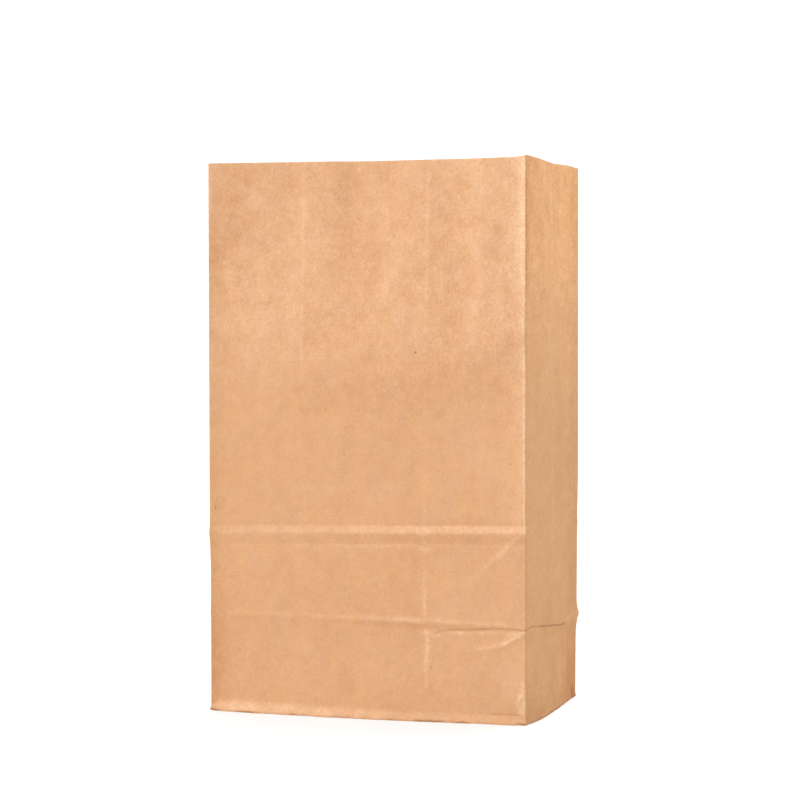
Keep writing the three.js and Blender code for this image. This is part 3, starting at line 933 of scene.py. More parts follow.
        # Pale wear and painted highlight along the corner folds, weaker on the right gusset panel.
        knots = ((0, 0.3), (14, 0.3), (22, 0.12), (46, 0.15), (60, 0.2), (97, 0.15), (107, 1.05),
                 (190, 1.05), (206, 0.55), (222, 0.6), (240, 1.3), (300, 1.25))
        edge = flowing(knots, z) * (0.35 if panel.side is Side.RIGHT else 1.0)
        spread = flowing(((0, 1.0), (190, 1.5), (235, 2.9), (300, 3.1)), z)
        wear = edge * (0.9 + 0.2 * ragged(z, 71, 2.9)) * hump(to_last, spread)
        wear = wear + 0.18 * hump(to_last, 7.0) * ease(z, 98, 112)
        wear = wear + (0.25 if wide else 0.5) * edge * hump(place + 1, 0.02)
        # Pale wear and painted highlight on the flared foot, most on the front.
        knots = ((-1, 0.15), (1, 0.15))
        if panel.side is Side.FRONT:
            knots = ((-1, 0.78), (-0.6, 0.7), (-0.2, 0.5), (0.3, 0.3), (0.7, 0.1))
        foot = (z - panel.height(Level.GROUND, x)) / flowing(panel.foot, place)
        wear = wear + flowing(knots, place) * (1 - ease(foot, 0.55, 1.2))
        # Painted highlight on the upper facet of the upper fold mark, which faces the light, and a pale
        # line below it.
        above = z - panel.height(Level.UPPER_FOLD, x) + 0.3 * ragged(x, 81, 3.0)
        facet = ease(above, -1.4, 0.3) * (1 - ease(above, 2.8, 4.2))
        line = hump(above + 7.0, 0.6)
        wear = wear + flowing(panel.upper_strength, place) * (0.4 * facet + 0.12 * line)
        # Painted light on the upper part of the wide panels, more towards their last fold.
        if wide:
            wear = wear + 0.19 * ease(z, 168, 215) * (1 + 0.6 * hump(to_last, 40))
        return wear + 0.25 * hump(z - panel.height(Level.RIM, x), 0.8)

    @staticmethod
    def handling_marks(panel: Panel) -> tuple[Crease, ...]:
        """Faint short creases from handling, seeded for each panel.

        Args:
            panel: The panel.

        Returns:
            The creases.
        """
        rng = np.random.default_rng(40 + panel.side.value)
        marks = []
        for _ in range(16):
            x = rng.uniform(-0.85, 0.85) * panel.half
            z = rng.uniform(12, 285)
            length = rng.uniform(8, 26)
            angle = rng.uniform(-1.2, 1.2) + math.pi / 2
            dx, dz = length * math.cos(angle) / 2, length * math.sin(angle) / 2
            curl = rng.uniform(-2, 2)
            size = rng.uniform(0.05, 0.14) * rng.choice([-1, 1])
            path = ((x - dx, z - dz), (x + curl, z), (x + dx, z + dz))
            marks.append(Crease(path, ridge(2.2, size), 0.8, worn=0.06, fades=(5, 5)))
        return tuple(marks)

    # ---- places of the sheet
    @staticmethod
    def folds(panel: Panel, z: Array) -> list[Array]:
        """Plan positions of a panel's first and last corner fold, at heights."""
        return [CORNERS[(panel.side.value + k) % 4].place(z) for k in (0, 1)]

    def outward(self, panel: Panel, z: Array) -> Array:
        """Unit vector in plan that faces out of a panel, at heights.

        Args:
            panel: The panel.
            z: Heights.

        Returns:
            The vectors, as an array that ends in (x, y).
        """
        first, last = self.folds(panel, z)
        along = (last - first) / np.linalg.norm(last - first, axis=-1, keepdims=True)
        return np.stack([along[..., 1], -along[..., 0]], -1)

    def plan(self, panel: Panel, x: Array, z: Array, relief: Array) -> Array:
        """Plan position of points of a panel.

        Args:
            panel: The panel.
            x: Distances from the panel's middle.
            z: Heights.
            relief: How far the points stand out from the panel.

        Returns:
            The positions, as an array that ends in (x, y).
        """
        first, last = self.folds(panel, z)
        share = (x[..., None] / panel.half + 1) / 2
        chord = first * (1 - share) + last * share
        return chord + relief[..., None] * self.outward(panel, z)

    def outer(self) -> Skin:
        """Outer face of the wall; its columns run counter-clockwise from the front left.

        Returns:
            The face, with all marks.
        """
        points, marks = [], []
        for panel in PANELS:
            x = self.stations(panel)
            z = self.heights(panel, x)
            grid = x[:, None] + np.zeros(z.shape)
            relief, found = self.relief(panel, grid, z)
            place = self.plan(panel, grid, z, relief)
            before = PANELS[panel.side.value - 1]
            shared, _ = self.relief(before, np.full(z[:1].shape, before.half), z[:1])
            place[:1] += shared[..., None] * self.outward(before, z[:1])
            points.append(np.concatenate([place, z[..., None]], -1))
            marks.append(found)
        joined = {name: np.concatenate([m[name] for m in marks]) for name in MARKS[:-1]}
        return Skin(np.concatenate(points), joined | {"inner": np.zeros(joined["worn"].shape)})

    def inner(self, outer: Skin) -> Skin:
        """Inner face of the wall: the outer face, moved in by the paper under it.

        Args:
            outer: The outer face.

        Returns:
            The face, with all marks.
        """
        points = outer.points
        around = np.roll(points, -1, 0) - np.roll(points, 1, 0)
        normal = np.cross(around, np.gradient(points, axis=1))
        normal /= np.linalg.norm(normal, axis=-1, keepdims=True)
        layers = []
        for panel in PANELS:
            x = self.stations(panel)
            lap = ease(x, -6.15, -5.85) - ease(x, 5.85, 6.15)
            layers.append(1 + lap * (panel.side is Side.BACK))
        moved = points - self.paper * np.concatenate(layers)[:, None, None] * normal
        moved[:, -1, 2] = points[:, -1, 2]
        # The inner face keeps part of the pale wear and highlight, of the painted glow and of the painted
        # light and shade, but none of the painted shade lines.
        shares = {"worn": 0.5, "soil": 0.0, "glow": 0.4, "tone": 0.6, "gusset": 1.0}
        marks = {name: outer.marks[name] * share for name, share in shares.items()}
        return Skin(moved, marks | {"inner": np.ones(moved.shape[:2])})

    # ---- glued base
    def outline(self, inset: float) -> Array:
        """Plan positions of all columns on the base, at an inset from its nominal edge.

        Args:
            inset: How far the loop lies inside the nominal edge of the base.

        Returns:
            The positions, as (column, xy).
        """
        loops = []
        for panel in PANELS:
            first, last = (self._inset_corner(panel.side.value + k, inset) for k in (0, 1))
            share = (self.stations(panel)[:, None] / panel.half + 1) / 2
            loops.append(first * (1 - share) + last * share)
        return np.concatenate(loops)

    def _inset_corner(self, index: int, inset: float) -> Array:
        """A corner of the base, moved in from both panels that meet there.

        Args:
            index: Number of the corner.
            inset: How far the loop lies inside the nominal edge of the base.

        Returns:
            Its position in plan.
        """
        ground = np.zeros(1)
        turned = sum(self.outward(PANELS[k % 4], ground) for k in (index - 1, index))
        return CORNERS[index % 4].place(ground) - inset * turned

    def levels(self, by_panel: Sequence[float], at_corner: Sequence[float]) -> Array:
        """One level for each column, from levels of the panels and of the corners.

        Args:
            by_panel: A level for each panel.
            at_corner: A level for each first corner.

        Returns:
            The levels.
        """
        found = []
        for panel, level, corner in zip(PANELS, by_panel, at_corner):
            found += [corner] + [level] * (len(self.stations(panel)) - 1)
        return np.array(found)

    def underside(self, edge: Array) -> list[Array]:
        """Loops of the underside, from the middle out to the rounded edge of the base.

        The front flap lies lowest, then the back flap, then the triangles of the ends.

        Args:
            edge: Points of the foot of the outer wall, one for each column.

        Returns:
            The loops, each as (column, xyz).
        """
        level = self.levels((0.0, 0.3, 0.15, 0.3), (0.0, 0.0, 0.15, 0.15))
        loops = []
        for inset in reversed(self.INSETS):
            loops.append(self._loop(edge, inset, level * ease(np.array(inset), 0.5, 4)))
        for degrees in (90, 60, 30):
            turn = math.radians(degrees)
            inset, height = (self.foot_round * (1 - f(turn)) for f in (math.cos, math.sin))
            loops.append(self._loop(edge, inset, 0 * level + height))
        return loops

    def floor_loops(self, edge: Array) -> list[Array]:
        """Loops of the floor inside, from the foot of the wall to the middle.

        Args:
            edge: Points of the foot of the outer wall, one for each column.

        Returns:
            The loops, each as (column, xyz).
        """
        level = self.levels((0.0, 0.3, 0.12, 0.3), (0.3, 0.3, 0.3, 0.3))
        loops = []
        for inset, rise in ((0.5, 0.6), (0.95, 0.2)):
            loops.append(self._loop(edge, inset, 0 * level + self.floor + rise))
        for inset in (1.6, *self.INSETS[2:]):
            loops.append(self._loop(edge, inset, self.floor + level * ease(np.array(inset), 1, 4)))
        return loops

    def _loop(self, edge: Array, inset: float, height: Array) -> Array:
        """A loop inside the edge of the base; it keeps the edge's unevenness at first.

        Args:
            edge: Points of the foot of the outer wall, one for each column.
            inset: How far the loop lies inside the nominal edge of the base.
            height: Height of each column.

        Returns:
            The loop, as (column, xyz).
        """
        flat = np.concatenate([self.outline(0.0), np.full((len(edge), 1), self.foot_round)], -1)
        uneven = (edge - flat) * max(0.0, 1 - inset / 10)
        return np.concatenate([self.outline(inset), height[:, None]], -1) + uneven

    # ---- the piece
    def build(self, name: str, finish: "KraftPaper") -> bpy.types.Object:
        """Makes the bag.

        Args:
            name: Name of the piece.
            finish: Its finish.

        Returns:
            The object, one closed mesh.
        """
        outer = self.outer()
        inner = self.inner(outer)
        edge = outer.points[:, 0]
        below, floor = self.underside(edge), self.floor_loops(edge)
        inside = slice(None, self.INNER_START, -2)
        loops = below + list(np.swapaxes(outer.points, 0, 1))
        loops += list(np.swapaxes(inner.points, 0, 1))[inside] + floor
        fading = np.exp(-np.arange(len(below))[::-1] / 2.0)[:, None]
        marks = []
        for mark in MARKS:
            wall = outer.marks[mark].T
            on_floor = np.full((len(floor), len(edge)), float(mark == "inner"))
            bands = (wall[:1] * fading, wall, inner.marks[mark].T[inside], on_floor)
            marks.append(np.concatenate(bands))
        rim = len(below) + outer.points.shape[1] - 1
        ends = (0, len(below) - 1, rim, len(loops) - len(floor), len(loops) - 1)
        charts = (Chart.BELOW, Chart.OUTER_WALL, Chart.INNER_WALL, Chart.FLOOR)
        mesh = MeshBuilder()
        mesh.add_tube(np.array(loops), np.array(marks), list(zip(ends, ends[1:], charts)))
        reach, half = self.flap_overlap, HALF_WIDTH - HALF_DEPTH
        mesh.add_flap(half, -0.98, reach, (0.0, 0.15), 0.0)
        mesh.add_flap(half, 0.98, -reach, (self.floor - 0.02, self.floor + 0.12), 1.0)
        return mesh.finish(name, finish.material())


class Chart(Enum):
    """Parts of the texture map: (left, bottom, map units per millimetre)."""

    OUTER_WALL = (0.008, 0.466, 0.00172)
    INNER_WALL = (0.008, 0.095, 0.00115)
    BELOW = (0.68, 0.27, 0.0017)
    FLOOR = (0.68, 0.075, 0.0017)
    FLAPS = (0.008, 0.008, 0.0017)

    def place(self, across: Array, up: Array) -> Array:
        """Map places of points given in millimetres from the chart's lower left corner."""
        left, bottom, scale = self.value
        return np.stack([left + across * scale, bottom + up * scale], -1)

    def unrolled(self, loops: Array) -> Array:
        """Map places of the points of a band of loops.

        Args:
            loops: Points as (loop, column, xyz).

        Returns:
            The places, as an array that ends in (u, v).
        """
        if self in (Chart.BELOW, Chart.FLOOR):
            return self.place(loops[..., 0] + 91.5, loops[..., 1] + 56)
        steps = np.linalg.norm(np.diff(loops[len(loops) // 2], axis=0), axis=-1)
        rises = np.linalg.norm(np.diff(loops, axis=0), axis=-1).mean(1)
        around, up = (np.concatenate([[0], np.cumsum(d)]) for d in (steps, rises))
        return self.place(*np.broadcast_arrays(around[None], up[:, None]))


def placed(name: str, data: bpy.types.ID) -> bpy.types.Object:
    """Object of the scene that shows a mesh, a light or a camera.

    Args:
        name: Name of the object.
        data: What it shows.

    Returns:
        The object.
    """
    thing = bpy.data.objects.new(name, data)
    bpy.context.scene.collection.objects.link(thing)
    return thing


@dataclass
class MeshBuilder:
    """Vertices, faces, texture map and marks of a piece while it is put together."""

    points: list[Array] = field(default_factory=list)
    marks: list[Array] = field(default_factory=list)
    faces: list[tuple[int, ...]] = field(default_factory=list)
    places: list[Array] = field(default_factory=list)
    count: int = 0

    def add_points(self, points: Array, marks: Array) -> int:
        """Adds vertices with their marks.

        Args:
            points: Their places.
            marks: Values as (vertex, mark).

        Returns:
            The number of the first.
        """
        self.points.append(points)
        self.marks.append(marks)
        self.count += len(points)
        return self.count - len(points)

    def add_tube(self, loops: Array, marks: Array, bands: Sequence[tuple[int, int, Chart]]) -> None:
        """Joins loops of points into a tube and closes both its ends with a fan.

        Args:
            loops: Points as (loop, column, xyz).
            marks: Values as (mark, loop, column).
            bands: First loop, last loop and chart of each part of the tube.
        """
        rows, columns = loops.shape[:2]
        first = self.add_points(loops.reshape(-1, 3), marks.reshape(len(MARKS), -1).T)
        number = first + np.arange(rows * columns).reshape(rows, columns)
        number, closed = (np.concatenate([a, a[:, :1]], 1) for a in (number, loops))
        for low, high, chart in bands:
            cut = [
                (slice(row, high - low + row), slice(column, columns + column))
                for row, column in ((0, 0), (0, 1), (1, 1), (1, 0))
            ]
            place = chart.unrolled(closed[low : high + 1])
            quads = np.stack([number[low : high + 1][c] for c in cut], -1).reshape(-1, 4)
            self.faces += [tuple(q) for q in quads.tolist()]
            self.places.append(np.stack([place[c] for c in cut], -2).reshape(-1, 2))
        for row, chart in ((0, bands[0][2]), (rows - 1, bands[-1][2])):
            middle = loops[row].mean(0)
            centre = self.add_points(middle[None], marks[None, :, row].mean(-1))
            for k in range(columns):
                ends = [k, k + 1] if row else [k + 1, k]
                self.faces.append((centre, *number[row, ends].tolist()))
                self.places.append(chart.unrolled(np.array([middle, *closed[row, ends]])))

    def add_flap(self, half: float, near: float, far: float, height: Knot, inner: float) -> None:
        """Adds the part of a flap of the base that reaches past the middle.

        Args:
            half: Half its width at the middle.
            near: Its edge near its own side, in plan.
            far: Its free edge.
            height: Its lower and upper face.
            inner: The mark of the inside.
        """
        ends = (half - 1.0, half - abs(far))
        corners = [(-ends[0], near), (ends[0], near), (ends[1], far), (-ends[1], far)]
        if far < near:
            corners.reverse()
        box = np.array([(x, y, z) for z in height for x, y in corners])
        first = self.add_points(box, np.tile([0.15, 0.0, 0.0, 0.0, 0.0, inner], (8, 1)))
        faces = [(3, 2, 1, 0), (4, 5, 6, 7)]
        faces += [(k, (k + 1) % 4, (k + 1) % 4 + 4, k + 4) for k in range(4)]
        for index, face in enumerate(faces):
            self.faces.append(tuple(first + k for k in face))
            flat = box[list(face), :2] + (38 + 160.0 * inner + 80.0 * index, 12)
            if index > 1:
                length = np.linalg.norm(box[face[1]] - box[face[0]])
                strip = np.array([(0, 0), (length, 0), (length, 1), (0, 1)])
                flat = strip + (80.0 * (index - 2) + 330.0 * inner, 26.0)
            self.places.append(Chart.FLAPS.place(*flat.T))

    def finish(self, name: str, material: bpy.types.Material) -> bpy.types.Object:
        """Makes the object, shaded smooth but for its cut edges.

        Args:
            name: Name of the piece.
            material: Its material.

        Returns:
            The object.
        """
        mesh = bpy.data.meshes.new(name)
        points = np.concatenate(self.points) * MM
        mesh.from_pydata(points.tolist(), [], self.faces)
        for mark, values in zip(MARKS, np.concatenate(self.marks).T):
            layer = mesh.attributes.new(mark, "FLOAT", "POINT")
            layer.data.foreach_set("value", values.astype(np.float32))
        places = np.concatenate(self.places).astype(np.float32)
        mesh.uv_layers.new(name="OFBake").data.foreach_set("uv", places.ravel())
        mesh.polygons.foreach_set("use_smooth", [True] * len(mesh.polygons))
        mesh.set_sharp_from_angle(angle=math.radians(60))
        mesh.materials.append(material)
        return placed(name, mesh)


# ---- shader expressions
Operand = Union["Wire", float]


def operator(operation: str, swapped: bool = False) -> Callable[["Wire", Operand], "Wire"]:
    """Method of a wire that adds a Math node.

    Args:
        operation: The node's operation.
        swapped: Whether the other operand comes first.

    Returns:
        The method.
    """

    def method(wire: "Wire", other: Operand) -> "Wire":
        """Value of the operation on the wire and another operand."""
        inputs = {0: other, 1: wire} if swapped else {0: wire, 1: other}
        return wire.graph.wire("ShaderNodeMath", 0, {"operation": operation}, inputs)

    return method


@dataclass
class Wire:
    """Output socket of a shader node; arithmetic on it adds Math nodes."""

    graph: "Graph"
    socket: bpy.types.NodeSocket

    __add__ = __radd__ = operator("ADD")
    __sub__ = operator("SUBTRACT")
    __rsub__ = operator("SUBTRACT", swapped=True)
    __mul__ = __rmul__ = operator("MULTIPLY")
    highest = operator("MAXIMUM")

    def __neg__(self) -> "Wire":
        """Opposite."""
        return self * -1.0

    def ramp(self, low: float, high: float, at_low: float = 0.0, at_high: float = 1.0) -> "Wire":
        """Smooth step from one value to another, level outside its two places.

        Args:
            low: Place of the first value.
            high: Place of the second value.
            at_low: The first value.
            at_high: The second value.

        Returns:
            The value.
        """
        settings = {"interpolation_type": "SMOOTHSTEP", "clamp": True}
        inputs = {0: self, 1: low, 2: high, 3: at_low, 4: at_high}
        return self.graph.wire("ShaderNodeMapRange", 0, settings, inputs)


class Graph:
    """Node tree of one material; every node is made by the same method."""

    def __init__(self, name: str) -> None:
        """Starts an empty material.

        Args:
            name: Name of the material.
        """
        self.material = bpy.data.materials.new(name)
        self.material.use_nodes = True
        self.tree = self.material.node_tree
        self.tree.nodes.clear()

    def node(
        self, kind: str, settings: dict[str, Any] | None = None, inputs: dict[Any, Any] | None = None
    ) -> bpy.types.Node:
        """Adds a node.

        Args:
            kind: Its type.
            settings: Properties, set first.
            inputs: Values or wires for its inputs.

        Returns:
            The node.
        """
        node = self.tree.nodes.new(kind)
        for name, value in (settings or {}).items():
            setattr(node, name, value)
        for name, value in (inputs or {}).items():
            if isinstance(value, Wire):
                self.tree.links.new(value.socket, node.inputs[name])
            else:
                node.inputs[name].default_value = value
        return node

    def wire(self, kind: str, output: Any, *details: dict[Any, Any] | None) -> Wire:
        """Adds a node with its settings and inputs, and returns one of its outputs."""
        return Wire(self, self.node(kind, *details).outputs[output])

    def mix(self, share: Operand, first: Any, second: Any) -> Wire:
        """Colour between two colours.

        Args:
            share: Share of the second colour.
            first: The first colour, as numbers or a wire.
            second: The second colour.

        Returns:
            The mixed colour.
        """
        first, second = ((*c, 1.0) if isinstance(c, tuple) else c for c in (first, second))
        settings = {"data_type": "RGBA", "clamp_factor": True}
        return self.wire("ShaderNodeMix", 2, settings, {0: share, 6: first, 7: second})

    def vector(self, operation: str, output: Any, inputs: dict[int, Any]) -> Wire:
        """Adds a Vector Math node for places or colours."""
        return self.wire("ShaderNodeVectorMath", output, {"operation": operation}, inputs)

    def stretched(self, place: Wire, scale: Colour, shift: Colour = (0.0, 0.0, 0.0)) -> Wire:
        """Place with each of its axes scaled, and then shifted."""
        return self.vector("MULTIPLY_ADD", 0, {0: place, 1: scale, 2: shift})

    def distance(self, place: Wire, other: Colour) -> Wire:
        """Distance between a place and a fixed point."""
        return self.vector("DISTANCE", "Value", {0: place, 1: other})

    def noise(self, place: Wire, scale: float, detail: float = 2.0, rough: float = 0.5) -> Wire:
        """Noise from about -1 to 1."""
        inputs = {"Vector": place, "Scale": scale, "Detail": detail, "Roughness": rough}
        return (self.wire("ShaderNodeTexNoise", 0, {"normalize": True}, inputs) - 0.5) * 4.0

    def finish(self, **inputs: Any) -> bpy.types.Material:
        """Ends the material with a Principled shader.

        Args:
            inputs: Values or wires by socket, with _ in its name for a space.

        Returns:
            The material.
        """
        named = {name.replace("_", " "): value for name, value in inputs.items()}
        shader = Wire(self, self.node("ShaderNodeBsdfPrincipled", None, named).outputs[0])
        self.node("ShaderNodeOutputMaterial", None, {"Surface": shader})
        return self.material


@dataclass(frozen=True)
class Fleck:
    """A dark fleck of fibre at a fixed place on a panel."""

    place: Colour
    radius: float
    depth: float


@dataclass(frozen=True)
class KraftPaper:
    """Light uncoated kraft paper with pale wear on its folds, and with light and shade painted into its
    colour: painted highlights on lit folds and edges, painted shade in creases and along the foot, and on
    the gusset panels a painted colour of their light and a painted glow of light through the paper.

    Colours are linear. Sizes are in millimetres. Darker stretches are also more saturated:
    the paper is multiplied by a tint that runs from deep to bleached as its shade goes from
    -tint_reach to tint_reach.
    """

    base: Colour = (0.702, 0.381, 0.196)
    beige: Colour = (0.692, 0.385, 0.213)
    warm: Colour = (0.720, 0.386, 0.184)
    # Painted colour of the light on the gusset panels, and a painted glow of light shining through the
    # paper at their tops.
    gusset: Colour = (0.690, 0.373, 0.172)
    glow: Colour = (0.868, 0.451, 0.199)
    # Pale wear and painted highlight.
    pale: Colour = (0.915, 0.592, 0.376)
    deep: Colour = (0.80, 0.68, 0.56)
    bleached: Colour = (1.20, 1.32, 1.44)
    tint_reach: float = 0.3
    # Painted shade, also the colour of the reddish dark spot at the rear corner of the foot.
    painted_shade_and_spot_colour: Colour = (0.430, 0.190, 0.085)
    inside: Colour = (0.660, 0.360, 0.190)
    fleck: Colour = (0.270, 0.100, 0.045)
    roughness: float = 0.86
    grain_height: float = 0.045
    flecks: tuple[Fleck, ...] = (
        Fleck((-20.2, -53.0, 260.5), 0.58, 0.45),
        Fleck((-12.8, -53.0, 236.8), 0.50, 0.4),
        Fleck((-0.4, -53.0, 221.5), 0.58, 0.45),
        Fleck((9.2, -53.0, 255.1), 0.50, 0.4),
        Fleck((27.9, -53.0, 196.7), 0.80, 0.7),
        Fleck((-22.8, -53.0, 165.8), 0.58, 0.6),
        Fleck((-86.6, -53.0, 111.5), 0.72, 0.6),
        Fleck((80.2, -53.0, 138.0), 0.58, 0.6),
        Fleck((75.0, -53.0, 132.8), 0.50, 0.5),
        Fleck((36.5, -53.0, 29.1), 0.58, 0.7),
        Fleck((90.0, -43.5, 69.1), 0.65, 0.55),
        Fleck((90.0, -46.0, 24.5), 0.72, 0.3),
        Fleck((90.0, 6.0, 33.0), 0.79, 0.2),
    )

    def material(self) -> bpy.types.Material:
        """Makes the material.

        Returns:
            The material.
        """
        graph = Graph("kraft_paper")
        local = graph.wire("ShaderNodeTexCoord", "Object")
        place = graph.stretched(local, (1000.0, 1000.0, 1000.0))
        z = graph.wire("ShaderNodeSeparateXYZ", "Z", None, {0: place})
        mottled = graph.stretched(place, (1.0, 0.5, 1.0), (0.0, -26.5, 0.0))
        fuzz = graph.noise(graph.stretched(mottled, (1.0, 1.0, 0.9)), 0.95, 1.0)
        fibre = graph.noise(graph.stretched(place, (1.9, 1.9, 0.28)), 1.0, 1.0)
        cloud = graph.noise(graph.stretched(mottled, (1.0, 1.0, 0.85)), 0.13, 3.0, 0.85)
        streak = graph.noise(graph.stretched(place, (1.0, 1.0, 0.3)), 0.06, 1.0)
        hue = graph.noise(graph.stretched(place, (1.0, 1.0, 0.5)), 0.12, 3.0, 0.7)
        worn, soil, glow, tone, gusset, inner = (
            graph.wire("ShaderNodeAttribute", "Fac", {"attribute_name": name}) for name in MARKS
        )
        colour = graph.mix(hue.ramp(-0.2, 1.2), self.base, self.warm)
        colour = graph.mix((-hue).ramp(-0.2, 1.2), colour, self.beige)
        # The gusset panels take a painted colour of the light on them, and their tops a painted glow of
        # light shining through the paper.
        colour = graph.mix(gusset * (0.9 + hue * 0.3), colour, self.gusset)
        colour = graph.mix(glow * (0.9 + hue * 0.45), colour, self.glow)
        colour = graph.mix(inner * 0.8, colour, self.inside)
        # Pale wear, with painted highlights on edges and facets that face the light.
        colour = graph.mix(worn * (0.8 + fuzz * 0.2 + cloud * 0.3) * 0.8, colour, self.pale)
        # Painted shade in creases and along the foot, and the reddish dark spot at the rear corner of the
        # foot.
        painted_shade_and_spot = soil + self._corner_dark_spot(graph, place, fuzz + cloud * 1.5)
        colour = graph.mix(painted_shade_and_spot, colour, self.painted_shade_and_spot_colour)
        colour = graph.mix(self._flecks(graph, place), colour, self.fleck)
        loose = z.ramp(150.0, 230.0, 1.0, 1.32)
        grain = fuzz * 0.06 + fibre * 0.012 + cloud * 0.074 + streak * 0.022
        # Grain, with the painted light and shade of the marks; the grain is stronger where the painted glow
        # lies.
        shade = grain * loose * (1.0 + gusset * glow * 0.5) + tone
        tint = graph.mix(shade * (0.5 / self.tint_reach) + 0.5, self.deep, self.bleached)
        colour = graph.vector("MULTIPLY", 0, {0: colour, 1: tint})
        rough = self.roughness + fuzz * 0.03 - worn * 0.05
        relief = fuzz * 0.6 + fibre * 0.2 + cloud * 1.6
        heights = {"Strength": 1.0, "Distance": self.grain_height * MM, "Height": relief}
        bump = graph.wire("ShaderNodeBump", 0, None, heights)
        return graph.finish(Base_Color=colour, Roughness=rough, Specular_IOR_Level=0.25, Normal=bump)

    def _flecks(self, graph: Graph, place: Wire) -> Wire:
        """Dark flecks: the fixed ones, and small random ones all over.

        Args:
            graph: The node tree.
            place: Places in millimetres.

        Returns:
            How dark the flecks are, from 0 to 1.
        """
        scatter = {"Vector": graph.stretched(place, (1.0, 1.0, 0.6)), "Scale": 0.085}
        cells = graph.node("ShaderNodeTexVoronoi", None, scatter)
        near, colour = (Wire(graph, cells.outputs[k]) for k in (0, 1))
        size = graph.wire("ShaderNodeSeparateColor", 0, None, {0: colour}).ramp(0.35, 1.0, 0.0, 0.075)
        total = (size - near).ramp(-0.01, 0.02, 0.0, 0.22)
        for fleck in self.flecks:
            near = graph.distance(place, fleck.place)
            total = total.highest(near.ramp(fleck.radius * 0.4, fleck.radius * 1.2, fleck.depth, 0.0))
        return total

    @staticmethod
    def _corner_dark_spot(graph: Graph, place: Wire, ragged_edge: Wire) -> Wire:
        """Reddish dark spot on the rear corner of the foot."""
        near = graph.distance(place, (90.5, 45.5, 4.5))
        return (near + ragged_edge * 0.9).ramp(2.0, 6.5, 0.6, 0.0)


# ---- studio
@dataclass(frozen=True)
class StudioPaper:
    """Matt white sweep."""

    colour: Colour = (0.42, 0.42, 0.42)
    glow: float = 0.72

    def material(self) -> bpy.types.Material:
        """Makes the material.

        Returns:
            The material.
        """
        graph = Graph("studio_paper")
        local = graph.wire("ShaderNodeTexCoord", "Object")
        # Faint random unevenness of the floor.
        tone = graph.noise(local, 3.0, 2.0) * 0.01 + 1.0
        even = graph.mix(0.0, self.colour, self.colour)
        return graph.finish(
            Base_Color=graph.vector("SCALE", 0, {0: even, 3: tone}),
            Roughness=0.95,
            Specular_IOR_Level=0.0,
            Emission_Color=(1.0, 1.0, 1.0, 1.0),
            Emission_Strength=self.glow,
        )


def looking(along: Sequence[float]) -> Any:
    """Rotation of a lamp or camera that looks along a direction."""
    return Vector(along).to_track_quat("-Z", "Y").to_euler()


@dataclass(frozen=True)
class Softbox:
    """A square area light that points at the bag."""

    name: str
    place: Colour
    size: float
    power: float
    target: Colour = (0.0, 0.0, 0.15)
    on_bag_only: bool = False

    def build(self, bag: bpy.types.Collection) -> None:
        """Makes the light, which may be kept off the floor and the backdrop.

        Args:
            bag: Collection that holds the bag.
        """
        light = bpy.data.lights.new(self.name, "AREA")
        light.size = self.size
        light.energy = self.power
        lamp = placed(self.name, light)
        lamp.location = self.place
        lamp.rotation_euler = looking(Vector(self.target) - Vector(self.place))
        if self.on_bag_only:
            lamp.light_linking.receiver_collection = bag


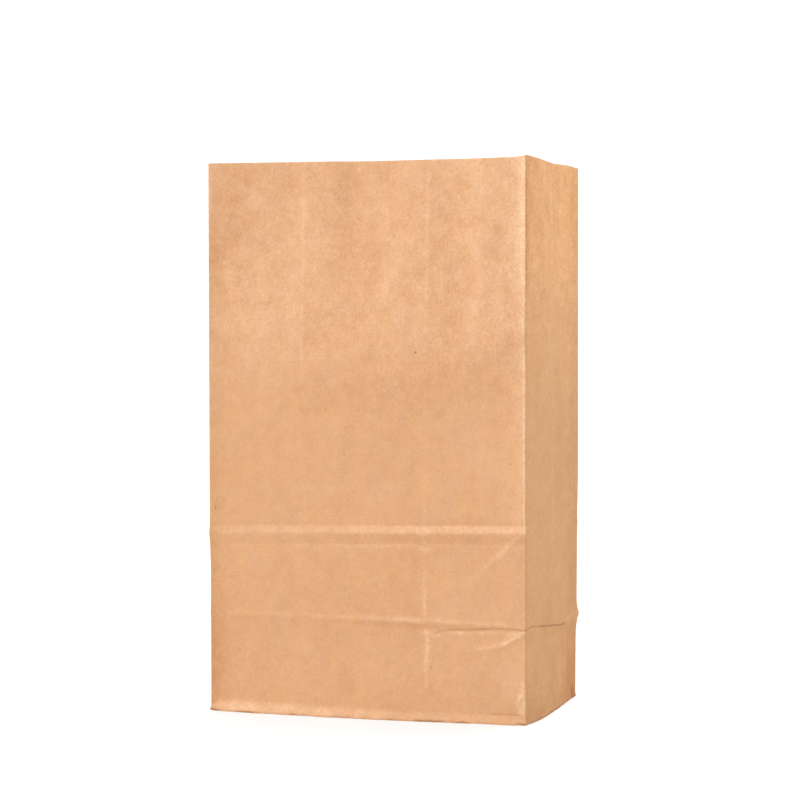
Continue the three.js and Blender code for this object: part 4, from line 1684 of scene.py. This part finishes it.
@dataclass
class Studio:
    """Pale sweep, soft lights and the world light."""

    sky: float = 0.4
    half_width: float = 4.0
    front: float = -4.0
    reach: float = 14.0
    back: float = 1.6
    bend_radius: float = 0.9
    level: float = -0.00005
    top: float = 3.5
    lights: tuple[Softbox, ...] = (
        Softbox("key", (-1.5, -1.9, 3.0), 1.4, 106.5, on_bag_only=True),
        Softbox("side", (3.0, 1.0, 1.2), 1.5, 8.0, on_bag_only=True),
        Softbox("overhead", (0.0, 0.9, 3.0), 2.4, 77.0, (0.0, 1.8, 0.3)),
    )
    finish: StudioPaper = StudioPaper()

    def build(self, bag: bpy.types.Object) -> None:
        """Makes the stage, the lights and the world.

        Args:
            bag: The bag.
        """
        self._sweep()
        lit = bpy.data.collections.new("lit_bag")
        lit.objects.link(bag)
        for light in self.lights:
            light.build(lit)
        world = bpy.data.worlds.new("studio")
        world.use_nodes = True
        background = world.node_tree.nodes["Background"]
        background.inputs["Color"].default_value = (1.0, 1.0, 1.0, 1.0)
        background.inputs["Strength"].default_value = self.sky
        bpy.context.scene.world = world
        bpy.context.scene.view_settings.view_transform = "Standard"

    def _sweep(self) -> bpy.types.Object:
        """Floor that turns up into the backdrop, over a wider ground for the other views.

        Returns:
            The floor and backdrop, as one object.
        """
        radius = self.bend_radius
        profile = [(self.front, self.level)]
        for degrees in range(0, 91, 6):
            turn = math.radians(degrees)
            rise = self.level + radius * (1 - math.cos(turn))
            profile.append((self.back + radius * math.sin(turn), rise))
        profile.append((self.back + radius, self.top))
        points = [(x, y, z) for y, z in profile for x in (-self.half_width, self.half_width)]
        faces = [(2 * k, 2 * k + 1, 2 * k + 3, 2 * k + 2) for k in range(len(profile) - 1)]
        faces.append(tuple(range(len(points), len(points) + 4)))
        around = ((-1, -1), (1, -1), (1, 1), (-1, 1))
        points += [(x * self.reach, y * self.reach, 2 * self.level) for x, y in around]
        mesh = bpy.data.meshes.new("studio_floor")
        mesh.from_pydata(points, [], faces)
        mesh.polygons.foreach_set("use_smooth", [True] * len(faces))
        mesh.materials.append(self.finish.material())
        return placed("studio_floor", mesh)


@dataclass(frozen=True)
class Viewpoint:
    """The camera, at the height and angle of the photograph."""

    place: Colour = (0.39126, -1.24151, 0.2051)
    looks: Colour = (-0.298614, 0.953988, -0.027109)
    lens: float = 105.05
    sensor: float = 36.0

    def build(self) -> None:
        """Makes the scene's camera."""
        camera = bpy.data.cameras.new("camera")
        camera.lens = self.lens
        camera.sensor_width = self.sensor
        camera.clip_end = 50.0
        holder = placed("camera", camera)
        holder.location = self.place
        holder.rotation_euler = looking(self.looks)
        bpy.context.scene.camera = holder


def main() -> None:
    """Builds the bag, the studio and the camera."""
    logging.basicConfig(level=logging.INFO, format="%(message)s")
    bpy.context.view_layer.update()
    bag = PaperSheet().build("bread_bag", KraftPaper())
    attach(bag, "root")
    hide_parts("bag")
    LOG.info("bag: %d vertices", len(bag.data.vertices))
    Studio().build(bag)
    Viewpoint().build()


if __name__ == "__main__":
    main()
